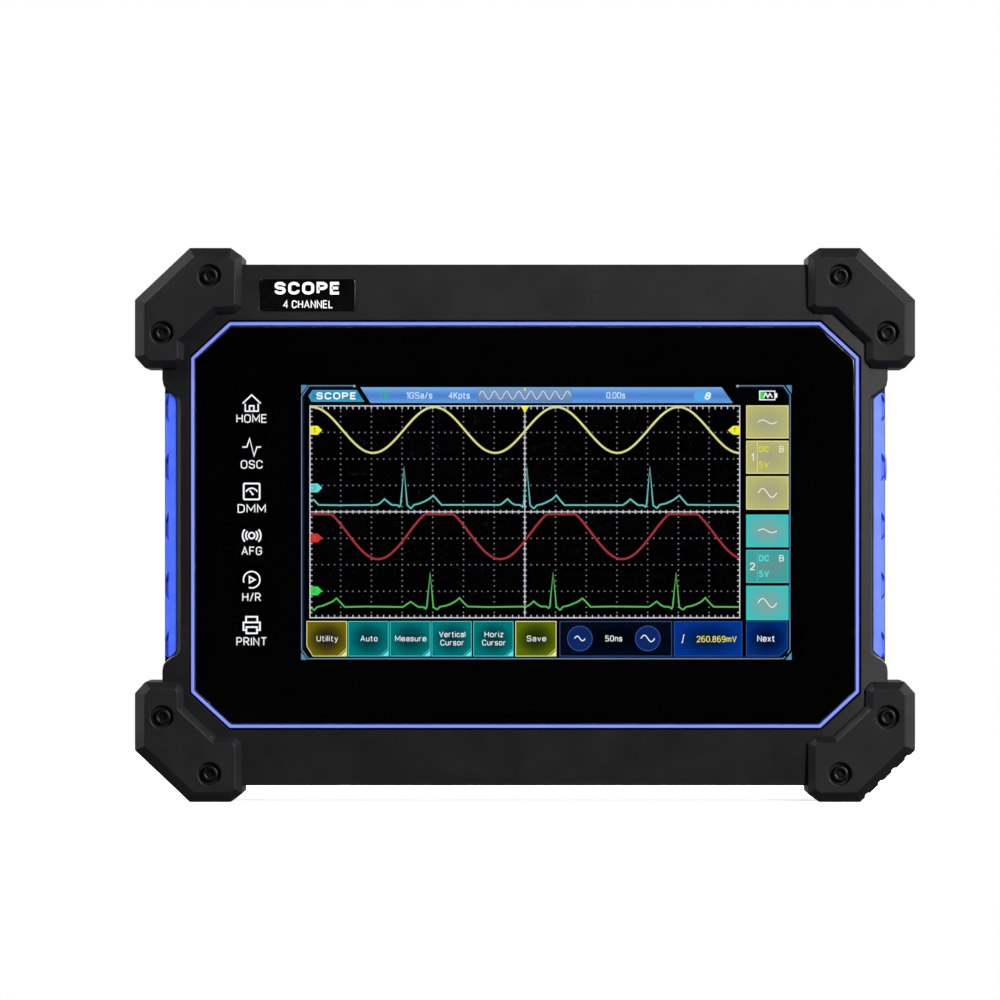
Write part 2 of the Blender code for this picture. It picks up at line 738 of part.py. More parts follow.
# Each port: name, place along z, and half its height (across the board) and width.
PORTS = (
    ("dc_jack", 24.0, 4.6, 4.8),
    ("hdmi_port", 7.5, 3.1, 7.8),
    ("usb_a_port", -10.5, 3.5, 6.7),
    ("usb_c_port", -25.5, 2.0, 4.8),
)


def side_ports(build):
    base = PORT_BOARD + GAP

    def shell(half_y, half_z):
        return lambda bm: add_block(bm, (PORT_MOUTH, -half_y, -half_z), (-106.0, half_y, half_z))

    for name, z, half_y, half_z in PORTS:
        port = build.solid(name, "nickel", shell(half_y, half_z), at=(0.0, base + half_y, z))
        if name == "dc_jack":
            build.cut(port, lambda bm: add_prism(bm, circle(3.3, 12), PORT_MOUTH - 1, -110.0, "x"))
            build.join(port, lambda bm: add_prism(bm, circle(1.0, 8), PORT_MOUTH + 1.5, -109.0, "x"))
            continue
        wall = 0.6
        tongue = 0.35

        def mouth(bm):
            low = (PORT_MOUTH - 1, wall - half_y, wall - half_z)
            add_block(bm, low, (-109.0, half_y - wall, half_z - wall))

        def contact_tongue(bm):
            low = (PORT_MOUTH + 1.2, -tongue * half_y, 1.7 - half_z)
            add_block(bm, low, (-108.0, tongue * half_y, half_z - 1.7))

        build.cut(port, mouth)
        build.join(port, contact_tongue)

    def board(bm):
        add_block(bm, (-114.8, PORT_BOARD - 1.4, -34.0), (-92.0, PORT_BOARD, 34.0))

    build.solid("port_board", "board", board)


def port_door(build):
    half = PORT_HALF_LENGTH - GAP
    reach = PORT_AXIS[1] - 3.7

    def flap(bm):
        outline = [(-0.95, -reach), (0.95, -reach), (0.95, -0.6), (-0.95, -0.6)]
        add_prism(bm, outline, -half, half, "z")

    def barrel(bm):
        add_prism(bm, circle(PORT_BARREL_R, 12), -half, half, "z")
        add_block(bm, (-1.9, 0.3 - reach, -7.0), (-0.5, 1.8 - reach, 7.0))

    def bore(bm):
        add_prism(bm, circle(PORT_PIN_R + 0.2, 8), -half - 1, half + 1, "z")

    door = build.solid("port_door", "seal", flap, at=PORT_AXIS)
    build.join(door, barrel)
    build.cut(door, bore)
    length = PORT_HALF_LENGTH + 2.0
    build.solid(
        "port_door_pin",
        "nickel",
        lambda bm: add_prism(bm, circle(PORT_PIN_R, 8), -length, length, "z"),
        at=PORT_AXIS,
    )


# ---------------------------------------------------------------- power button

BUTTON_AT = (0.0, 11.2, 20.0)


def power_button(build):
    cap = (
        (0.0, 115.4), (2.0, 115.4), (2.0, 117.8), (6.2, 117.8), (6.2, 119.3), (4.9, 119.3),
        (4.9, 123.6), (4.4, 124.1), (0.0, 124.1),
    )  # fmt: skip
    build.solid("power_button", "grip", lambda bm: add_turned(bm, cap, 16, axis="x"), at=BUTTON_AT)

    def switch(bm):
        add_block(bm, (108.0, -3.2, -3.2), (112.6, 3.2, 3.2))

    def plunger(bm):
        add_prism(bm, circle(1.6, 12), 112.0, 114.3, "x")

    body = build.solid("power_switch", "black", switch, at=BUTTON_AT)
    build.join(body, plunger)


# ---------------------------------------------------------------- battery, kickstand


def battery(build):
    def pack(bm):
        outline = cut_corner_box((47.5, 19.8), (1.5, 1.5), (0.0, 36.4))
        add_prism(bm, outline, -3.6, 16.4)

    def door(bm):
        outline = cut_corner_box((DOOR_HALF_WIDTH - GAP, 24.7), (0.6, 0.6), (0.0, 39.0))
        add_prism(bm, outline, CASE_BACK - 2.7, CASE_BACK - 0.1)

    def door_holes(bm):
        for sign in (-1, 1):
            centre = (sign * DOOR_SCREW[0], DOOR_SCREW[1])
            back = CASE_BACK - 1.6
            add_loft(
                bm,
                [
                    (circle(2.7, 12, centre), CASE_BACK + 1), (circle(2.7, 12, centre), back),
                    (circle(1.5, 12, centre), back), (circle(1.5, 12, centre), CASE_BACK - 4),
                ],
            )  # fmt: skip
        for i in range(6):
            z = 24.0 + 2.4 * i
            add_block(bm, (-22.0, CASE_BACK - 0.7, z), (22.0, CASE_BACK + 1, z + 1.2))

    build.solid("battery_pack", "battery", pack)
    cover = build.solid("battery_door", "case", door)
    build.cut(cover, door_holes)


def kickstand(build):
    half = STAND_HALF_WIDTH
    thick = STAND_THICKNESS / 2

    def leg(bm):
        outline = (
            (half, 0.0), (half, -40.0), (half - 14.0, -STAND_REACH),
            (14.0 - half, -STAND_REACH), (-half, -40.0), (-half, 0.0),
        )  # fmt: skip
        face = inset(list(outline), 0.6)
        add_loft(bm, [(outline, -thick), (outline, thick - 0.6), (face, thick)])

    def barrel(bm):
        add_prism(bm, circle(STAND_BARREL_R, 14), -half, half, "x")

    def bore_and_panel(bm):
        add_prism(bm, circle(STAND_PIN_R + 0.3, 12), -half - 1, half + 1, "x")
        outline = (
            (38.0, -10.0), (38.0, -42.0), (28.0, -66.0), (-28.0, -66.0), (-38.0, -42.0), (-38.0, -10.0),
        )  # fmt: skip
        face = inset(list(outline), 0.8)
        add_loft(bm, [(face, thick - 1.0), (inset(list(outline), -0.8), thick + 1.0)])

    stand = build.solid("kickstand", "black", leg, at=STAND_AXIS)
    build.join(stand, barrel)
    build.cut(stand, bore_and_panel)
    end = half + 4.0
    build.solid(
        "kickstand_pin",
        "nickel",
        lambda bm: add_prism(bm, circle(STAND_PIN_R, 12), -end, end, "x"),
        at=STAND_AXIS,
    )


# ---------------------------------------------------------------- electronics inside


def boards(build):
    def main_board(bm):
        outline = ((-100.0, -78.0), (100.0, -78.0), (100.0, 60.0), (-100.0, 60.0))
        add_prism(bm, outline, -6.0, -4.4)

    def shield(bm):
        add_block(bm, (-92.0, -11.8, 28.0), (8.0, -6.3, 58.0))

    def heat_sink(bm):
        base, tip = -4.1, 5.0
        outline = [(-28.0, base), (28.0, base)]
        for i in range(7, -1, -1):
            x = -28.0 + 7.7 * i
            outline += [(x + 2.1, tip), (x, tip)]
            if i:
                outline += [(x, base + 2.0), (x - 5.6, base + 2.0)]
        add_prism(bm, outline, -50.0, -6.0, "z")

    def speaker(bm):
        profile = ((0.0, 12.4), (6.0, 12.4), (7.0, 13.6), (10.0, 13.6), (10.0, 16.6), (0.0, 16.6))
        add_turned(bm, profile, 14, centre=(-85.0, 0.0, -55.0), axis="y")

    build.solid("main_board", "board", main_board)
    build.solid("input_shield", "nickel", shield)
    build.solid("heat_sink", "aluminium", heat_sink)
    build.solid("speaker", "black", speaker)


FAN_AT = (80.0, 0.0, 38.0)
FAN_HALF = 20.0
FAN_FRONT = 4.5
FAN_BACK = 14.5


def cooling_fan(build):
    def frame(bm):
        low, high = (-FAN_HALF, -FAN_HALF), (FAN_HALF, FAN_HALF)
        add_prism(bm, rectangle(low, high), FAN_FRONT, FAN_BACK)

    def throat(bm):
        add_prism(bm, circle(18.7, 24), FAN_FRONT - 1, FAN_BACK + 1)

    def motor_base(bm):
        add_prism(bm, circle(8.5, 12), FAN_FRONT, FAN_FRONT + 1.6)

    def struts(bm):
        for i in range(3):
            angle = math.radians(90 + 120 * i)
            along = Vector((math.cos(angle), math.sin(angle)))
            side = Vector((-along.y, along.x)) * 1.2
            corners = [along * 7 - side, along * 19.4 - side, along * 19.4 + side, along * 7 + side]
            add_prism(bm, [tuple(c) for c in corners], FAN_FRONT + 0.2, FAN_FRONT + 1.4)

    body = build.solid("fan_frame", "black", frame, at=FAN_AT)
    for operation, draw in (("DIFFERENCE", throat), ("UNION", struts), ("UNION", motor_base)):
        build.combine(body, operation, draw)

    def rotor(bm):
        """A hub with seven slanting blades, all one outline."""
        outline = []
        for i in range(7):
            start = 2 * math.pi * i / 7
            for turn, radius in ((-0.30, 8.0), (-0.05, 8.0), (0.16, 18.1), (0.28, 18.1), (0.16, 8.0), (0.40, 8.0)):
                angle = start + turn
                outline.append((radius * math.cos(angle), radius * math.sin(angle)))
        add_prism(bm, outline, FAN_FRONT + 2.4, FAN_BACK - 0.9)

    build.solid("fan_rotor", "black", rotor, at=FAN_AT)


# ---------------------------------------------------------------- the whole object


def main():
    for obj in list(bpy.data.objects):
        bpy.data.objects.remove(obj)
    build = Builder()
    front_bezel(build)
    glass_and_trim(build)
    display(build)
    touch_key_board(build)
    corner_guards(build)
    screws(build)
    rear_cover(build)
    hand_grips(build)
    connector_panel(build)
    bnc_sockets(build)
    multimeter_jacks(build)
    side_ports(build)
    port_door(build)
    power_button(build)
    battery(build)
    kickstand(build)
    boards(build)
    cooling_fan(build)


main()
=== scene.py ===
"""The looks of a tablet oscilloscope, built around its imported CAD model.

Lengths in this script are millimetres from the middle of the case (x to the viewer's right, y from
the screen to the back, z up) unless a line says otherwise. They are turned into metres in the row
frame when a piece is finished.
"""

import cmath
import math

import bmesh
import bpy
from mathutils import Matrix, Vector


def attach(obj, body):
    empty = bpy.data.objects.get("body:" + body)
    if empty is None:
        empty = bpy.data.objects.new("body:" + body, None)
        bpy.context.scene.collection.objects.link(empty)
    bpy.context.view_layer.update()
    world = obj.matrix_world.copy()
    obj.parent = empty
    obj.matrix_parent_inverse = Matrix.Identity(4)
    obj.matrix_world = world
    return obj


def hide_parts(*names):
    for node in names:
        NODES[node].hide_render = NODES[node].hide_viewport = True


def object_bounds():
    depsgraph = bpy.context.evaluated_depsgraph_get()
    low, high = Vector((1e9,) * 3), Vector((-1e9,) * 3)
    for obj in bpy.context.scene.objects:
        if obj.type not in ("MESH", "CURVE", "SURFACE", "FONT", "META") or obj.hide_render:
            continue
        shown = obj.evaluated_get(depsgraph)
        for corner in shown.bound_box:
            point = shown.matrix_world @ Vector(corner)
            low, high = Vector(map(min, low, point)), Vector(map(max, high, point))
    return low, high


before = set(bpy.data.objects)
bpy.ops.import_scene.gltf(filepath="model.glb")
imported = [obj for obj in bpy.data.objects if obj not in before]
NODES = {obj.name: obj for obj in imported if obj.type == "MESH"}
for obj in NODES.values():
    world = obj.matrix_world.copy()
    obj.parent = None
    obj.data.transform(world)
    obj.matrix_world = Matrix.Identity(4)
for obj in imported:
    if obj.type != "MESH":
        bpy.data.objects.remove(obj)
cad_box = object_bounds()

MM = 0.001
MIDDLE = (cad_box[0] + cad_box[1]) / 2

# Depths, front to back.
GUARD_FRONT, GUARD_BACK = -25.0, 25.0
CASE_FRONT, CASE_BACK = -21.0, 21.0
PARTING = -7.7
BEZEL_WALL_BACK = -15.7
GLASS_SEAT = -18.0
GLASS_FRONT, GLASS_BACK = -20.9, -19.1
PANEL_FRONT = -18.6
GRIP_BACK = 1.3

# Outlines, upper right quarter, as in the CAD model.
CASE_QUARTER = ((111.4, 88.5), (128.2, 73.2), (128.2, 57.0), (123.3, 57.0))
NOTCH_QUARTER = ((123.3, 49.7), (122.9, 47.1), (121.1, 45.5), (118.4, 43.5), (118.2, 40.5))
BEZEL_CHAMFERS = (0.5, 0.5, 0.5, 0.5, 0.5, 0.9, 0.9, 1.8)
CAVITY_QUARTER = ((97.0, 85.8), (115.6, 56.0))
RING_HALF, RING_CUT, RING_WIDTH = (113.8, 69.3), (13.3, 12.3), 1.8
DISPLAY_CENTRE, DISPLAY_HALF = (7.3, 0.85), (83.45, 46.75)
GUARD_OUTLINE = (
    (99.95, 94.1), (113.9, 94.1), (132.5, 76.5), (132.5, 57.1), (129.1, 53.3), (117.9, 53.3),
    (115.7, 55.9), (115.7, 61.6), (104.9, 71.7), (98.3, 71.9), (96.1, 74.1), (96.1, 91.4),
)  # fmt: skip
GUARD_CHAMFERS = (3.2, 3.4, 3.5, 3.0, 2.4, 2.2, 2.2, 2.2, 2.2, 2.2, 2.3, 2.8)
CORNERS = {
    "upper_right": (1, 1),
    "upper_left": (-1, 1),
    "lower_left": (-1, -1),
    "lower_right": (1, -1),
}
GUARD_SCREWS = ((107.0, 84.5), (123.1, 65.2))
CASE_SCREW = (115.0, 74.9)
BADGE_CENTRE = (-73.8, 78.2)

# Sockets in the top.
PANEL_TOP = 72.0
CONNECTOR_Y = 6.0
BNC_FIRST_X, BNC_PITCH = -82.0, 23.0
JACK_FIRST_X, JACK_PITCH = 28.0, 18.0

SPECULAR = "Specular IOR Level"
LIGHT_AIM = (0.0, 0.0, 0.094)  # metres
LAYER_STEP = 0.024  # from one layer of marks to the next
SHARED_EDGE = 0.49  # the share of an edge that each of two rounded corners may take up


# ---- outlines


def four_way(quarter):
    upper_right = list(quarter)
    lower_right = [(x, -z) for x, z in reversed(quarter)]
    lower_left = [(-x, -z) for x, z in quarter]
    upper_left = [(-x, z) for x, z in reversed(quarter)]
    return upper_right + lower_right + lower_left + upper_left


def four_way_edges(inner, side, top):
    half = list(inner) + [side] + list(inner)[::-1] + [top]
    return half + half


def inset(points, distances):
    """The outline moved inwards, each edge by its own distance."""
    count = len(points)
    if not hasattr(distances, "__len__"):
        distances = [distances] * count
    pairs = [(points[i], points[(i + 1) % count]) for i in range(count)]
    turn = 1 if sum(a[0] * b[1] - b[0] * a[1] for a, b in pairs) > 0 else -1
    lines = []
    for (a, b), distance in zip(pairs, distances):
        start = Vector(a)
        along = (Vector(b) - start).normalized()
        inward = Vector((-along.y, along.x)) * turn
        lines.append((start + inward * distance, along))
    moved = []
    for i in range(count):
        (p, a), (q, b) = lines[i - 1], lines[i]
        step = ((q - p).x * b.y - (q - p).y * b.x) / (a.x * b.y - a.y * b.x)
        moved.append(tuple(p + a * step))
    return moved


def unit(step):
    return step / abs(step)


def rounded(points, radius, steps=3, alone=SHARED_EDGE):
    """The outline with its corners rounded. Radius is one number, or one for each corner.

    Alone is the share of an edge that a corner may take up when the edge's other end is sharp.
    """
    count = len(points)
    radii = radius if hasattr(radius, "__len__") else [radius] * count
    spots = [complex(*p) for p in points]
    found = []
    for i, here in enumerate(spots):
        before, after = (i - 1) % count, (i + 1) % count
        if not radii[i]:
            found.append(points[i])
            continue
        back, on = spots[before] - here, spots[after] - here
        limit_back = (SHARED_EDGE if radii[before] else alone) * abs(back)
        limit_on = (SHARED_EDGE if radii[after] else alone) * abs(on)
        a, b = unit(back), unit(on)
        half = abs(cmath.phase(b / a)) / 2
        reach = min(radii[i] / math.tan(half), limit_back, limit_on)
        centre = here + unit(a + b) * reach / math.cos(half)
        first = here + a * reach - centre
        turn = cmath.phase((here + b * reach - centre) / first)
        for k in range(steps + 1):
            spot = centre + first * cmath.exp(1j * turn * k / steps)
            found.append((spot.real, spot.imag))
    return found


def box(left, top, right, bottom):
    return [(left, top), (right, top), (right, bottom), (left, bottom)]


def box_outline(half, centre=(0.0, 0.0)):
    x, z = centre
    return box(x - half[0], z - half[1], x + half[0], z + half[1])


def cut_corner_box(half, cut, centre=(0.0, 0.0)):
    quarter = ((half[0] - cut[0], half[1]), (half[0], half[1] - cut[1]))
    return [(x + centre[0], z + centre[1]) for x, z in four_way(quarter)]


def circle(radius, segments, centre=(0.0, 0.0)):
    angles = [i * (2 * math.pi / segments) for i in range(segments)]
    return [(centre[0] + radius * math.cos(a), centre[1] + radius * math.sin(a)) for a in angles]


def mirrored(point, signs):
    return (point[0] * signs[0], point[1] * signs[1])


# ---- solids


def place(u, v, along, axis):
    return {"x": (along, u, v), "y": (u, along, v), "z": (u, v, along)}[axis]


def skin(bm, rings, closed=False):
    """A solid through rings of vertices. Closed joins the last one to the first."""
    for lower, upper in zip(rings, rings[1:] + rings[:1] if closed else rings[1:]):
        for i, vert in enumerate(lower):
            j = (i + 1) % len(lower)
            bm.faces.new((vert, lower[j], upper[j], upper[i]))
    if not closed:
        bm.faces.new(rings[0])
        bm.faces.new(rings[-1][::-1])


def add_loft(bm, sections, axis="y", closed=False):
    """A solid through outlines with equal point counts, each given with its place on the axis."""
    rings = [[bm.verts.new(place(u, v, along, axis)) for u, v in points] for points, along in sections]
    skin(bm, rings, closed)


def add_prism(bm, points, start, end, axis="y"):
    add_loft(bm, [(points, start), (points, end)], axis)


def add_turned(bm, profile, segments, axis="z"):
    """A solid turned from (radius, height) points that start and end on the axis."""
    rings = []
    for radius, height in profile:
        spots = circle(radius, segments) if radius else [(0.0, 0.0)]
        rings.append([bm.verts.new(Vector(place(u, v, height, axis))) for u, v in spots])
    for lower, upper in zip(rings, rings[1:]):
        for i in range(segments):
            j = (i + 1) % segments
            corners = (lower[i % len(lower)], lower[j % len(lower)], upper[j % len(upper)], upper[i % len(upper)])
            bm.faces.new(list(dict.fromkeys(corners)))


def draws(add, *shape, **options):
    """A draw function for piece() that makes one solid."""
    return lambda bm: add(bm, *shape, **options)


def shave(bm, start, out, slope):
    """Planes the front of a solid so that it falls back from a point towards (x, z) direction out."""
    geometry = bm.verts[:] + bm.edges[:] + bm.faces[:]
    normal = Vector((-slope * out[0], 1.0, -slope * out[1]))
    bmesh.ops.bisect_plane(bm, geom=geometry, dist=1e-5, plane_co=start, plane_no=normal, clear_inner=True)
    bmesh.ops.holes_fill(bm, edges=bm.edges[:], sides=0)


def new_object(name, data):
    obj = bpy.data.objects.new(name, data)
    bpy.context.scene.collection.objects.link(obj)
    return obj


def mesh_from(name, bm):
    mesh = bpy.data.meshes.new(name)
    bm.to_mesh(mesh)
    bm.free()
    return mesh


def drawn_mesh(name, draw):
    """A mesh in millimetres from what draw(bm) makes, with its faces looking outwards."""
    bm = bmesh.new()
    draw(bm)
    bmesh.ops.recalc_face_normals(bm, faces=bm.faces)
    if bm.calc_volume(signed=True) < 0:
        bmesh.ops.reverse_faces(bm, faces=bm.faces)
    return mesh_from(name, bm)


def evaluated(obj):
    """The object's mesh with its modifiers applied."""
    graph = bpy.context.evaluated_depsgraph_get()
    return bpy.data.meshes.new_from_object(obj.evaluated_get(graph), depsgraph=graph)


def combine(obj, operation, draw):
    """Cuts or joins what draw(bm) makes, then clears the slivers that leaves."""
    tool = new_object("tool", drawn_mesh("tool", draw))
    modifier = obj.modifiers.new("combine", "BOOLEAN")
    modifier.operation = operation
    modifier.solver = "EXACT"
    modifier.object = tool
    made = evaluated(obj)
    obj.modifiers.clear()
    bpy.data.objects.remove(tool)
    bm = bmesh.new()
    bm.from_mesh(made)
    bmesh.ops.remove_doubles(bm, verts=bm.verts, dist=0.001)
    bmesh.ops.dissolve_limit(bm, angle_limit=math.radians(0.2), verts=bm.verts, edges=bm.edges)
    bm.to_mesh(made)
    bm.free()
    obj.data = made


def add_bevel(obj, width, segments, angle):
    """Eases the edges that are sharper than an angle in degrees."""
    modifier = obj.modifiers.new("edges", "BEVEL")
    modifier.width = width
    modifier.segments = segments
    modifier.limit_method = "ANGLE"
    modifier.angle_limit = math.radians(angle)
    modifier.use_clamp_overlap = False
    return modifier


def into_frame(mesh, at=(0.0, 0.0, 0.0)):
    """Turns a mesh from millimetres into metres in the row frame."""
    mesh.transform(Matrix.Translation(MIDDLE) @ Matrix.Scale(MM, 4) @ Matrix.Translation(at))


def settle(mesh, at=(0.0, 0.0, 0.0)):
    """Finishes a mesh in the row frame, smooth but for its sharp edges."""
    into_frame(mesh, at)
    mesh.shade_smooth()
    mesh.set_sharp_from_angle(angle=math.radians(38.0))
    mesh.update()


def piece(name, draw, look, body="case", nodes=(), cuts=(), joins=(), bevel=0.0, steps=2, at=(0, 0, 0)):
    """A finished piece that rides on a body and stands for the CAD nodes given.

    Look names its material, or a tuple of them.
    """
    obj = new_object(name, drawn_mesh(name, draw))
    for joined in joins:
        combine(obj, "UNION", joined)
    for cutter in cuts:
        combine(obj, "DIFFERENCE", cutter)
    if bevel:
        add_bevel(obj, bevel, steps, 28).miter_outer = "MITER_ARC"
        obj.data = evaluated(obj)
        obj.modifiers.clear()
    obj.data.name = name
    settle(obj.data, at)
    flatten_normals(obj)
    for one in look if isinstance(look, tuple) else (look,):
        obj.data.materials.append(LOOKS[one])
    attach(obj, body)
    if nodes:
        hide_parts(*nodes)
    return obj


def flatten_normals(obj):
    """Keeps big faces flat where they meet small rounded ones."""
    modifier = obj.modifiers.new("normals", "WEIGHTED_NORMAL")
    modifier.keep_sharp = True
    modifier.weight = 100


def dress(node, look, bevel=0.0):
    """Keeps a CAD node's shape, with eased edges and a detailed material."""
    obj = NODES[node]
    obj.data.materials.clear()
    obj.data.materials.append(LOOKS[look])
    weld = obj.modifiers.new("weld", "WELD")
    weld.merge_threshold = 0.000002
    if bevel:
        add_bevel(obj, bevel * MM, 2, 35)
    flatten_normals(obj)
    for polygon in obj.data.polygons:
        polygon.use_smooth = True
    obj.data.set_sharp_from_angle(angle=math.radians(35))


# ---- materials


def linear(rgb):
    """Linear colour from 0 to 255 display values."""
    return tuple((c / 255 / 12.92) if c <= 10 else ((c / 255 + 0.055) / 1.055) ** 2.4 for c in rgb)


def add_node(tree, kind, inputs=(), **values):
    """A new shader node, with its input sockets and its own settings filled in."""
    made = tree.nodes.new(kind)
    for key, value in values.items():
        setattr(made, key, value)
    for socket, value in dict(inputs).items():
        made.inputs[socket].default_value = value
    return made


class Look:
    """Builds one procedural material."""

    def __init__(self, name, rgb, roughness, metallic=0.0):
        self.material = bpy.data.materials.new(name)
        self.material.use_nodes = True
        self.tree = self.material.node_tree
        self.shader = self.tree.nodes["Principled BSDF"]
        self.colour = linear(rgb)
        self.roughness = roughness
        self.set("Base Color", (*self.colour, 1.0)).set("Roughness", roughness).set("Metallic", metallic)
        self.coords = self.node("ShaderNodeTexCoord").outputs["Object"]
        self.normal = None

    def node(self, kind, inputs=(), **values):
        return add_node(self.tree, kind, inputs, **values)

    def link(self, output, target):
        self.tree.links.new(output, target)

    def set(self, socket, value):
        self.shader.inputs[socket].default_value = value
        return self

    def texture(self, kind, size_mm, output, vector=None, inputs=(), **values):
        made = self.node(kind, {"Scale": 1.0 / (size_mm * MM), **dict(inputs)}, **values)
        self.link(vector or self.coords, made.inputs["Vector"])
        return made.outputs[output]

    def noise(self, size_mm, detail=3.0):
        inputs = {"Detail": detail, "Roughness": 0.55}
        return self.texture("ShaderNodeTexNoise", size_mm, "Fac", inputs=inputs)

    def spread(self, source, low, high, out_low, out_high):
        inputs = {"From Min": low, "From Max": high, "To Min": out_low, "To Max": out_high}
        made = self.node("ShaderNodeMapRange", inputs)
        self.link(source, made.inputs["Value"])
        return made.outputs["Result"]

    def mottle(self, size_mm, share, other=None):
        """Slow colour variation towards another colour, or a paler one if none is given."""
        other = linear(other) if other else tuple(min(1.0, c * 1.6 + 0.004) for c in self.colour)
        mixed = self.node("ShaderNodeMix", {"A": (*self.colour, 1.0), "B": (*other, 1.0)}, data_type="RGBA")
        self.link(self.spread(self.noise(size_mm), 0.35, 0.7, 0.0, share), mixed.inputs["Factor"])
        self.link(mixed.outputs["Result"], self.shader.inputs["Base Color"])
        return self

    def patina(self, size_mm, change):
        """Slow variation of the gloss, from handling."""
        low, high = self.roughness - change, self.roughness + change
        self.link(self.spread(self.noise(size_mm, 4.0), 0.3, 0.7, low, high), self.shader.inputs["Roughness"])
        return self

    def relief(self, source, **inputs):
        bump = self.node("ShaderNodeBump", inputs)
        self.link(source, bump.inputs["Height"])
        if self.normal:
            self.link(self.normal, bump.inputs["Normal"])
        self.normal = bump.outputs["Normal"]
        self.link(self.normal, self.shader.inputs["Normal"])
        return self

    def grain(self, size_mm, height_mm, strength, cells=False):
        """Fine surface relief, as moulded or blasted texture."""
        if cells:
            source = self.texture("ShaderNodeTexVoronoi", size_mm, "Distance", feature="SMOOTH_F1")
        else:
            source = self.noise(size_mm, 2.0)
        return self.relief(source, Strength=strength, Distance=height_mm * MM)

    def brushed(self, axis):
        """Fine streaks along one axis."""
        scale = [1.0, 1.0, 1.0]
        scale["xyz".index(axis)] = 0.02
        mapping = self.node("ShaderNodeMapping", {"Scale": scale})
        self.link(self.coords, mapping.inputs["Vector"])
        streaks = self.texture("ShaderNodeTexNoise", 0.12, "Fac", mapping.outputs["Vector"])
        return self.relief(streaks, Distance=0.004 * MM)


def glow(name, rgb=None):
    """A lit part of the display, or a backlit legend.

    Without a colour it is lit from the mesh's own colour attribute, for keys and bars with soft shading.
    """
    look = Look(name, (2, 2, 3), 0.6).set(SPECULAR, 0.0)
    if rgb:
        look.set("Emission Color", (*linear(rgb), 1.0)).set("Emission Strength", 1.08)
    else:
        attribute = look.node("ShaderNodeAttribute", attribute_name="tint")
        look.link(attribute.outputs["Color"], look.shader.inputs["Emission Color"])
        look.set("Emission Strength", 1.0)
    return look


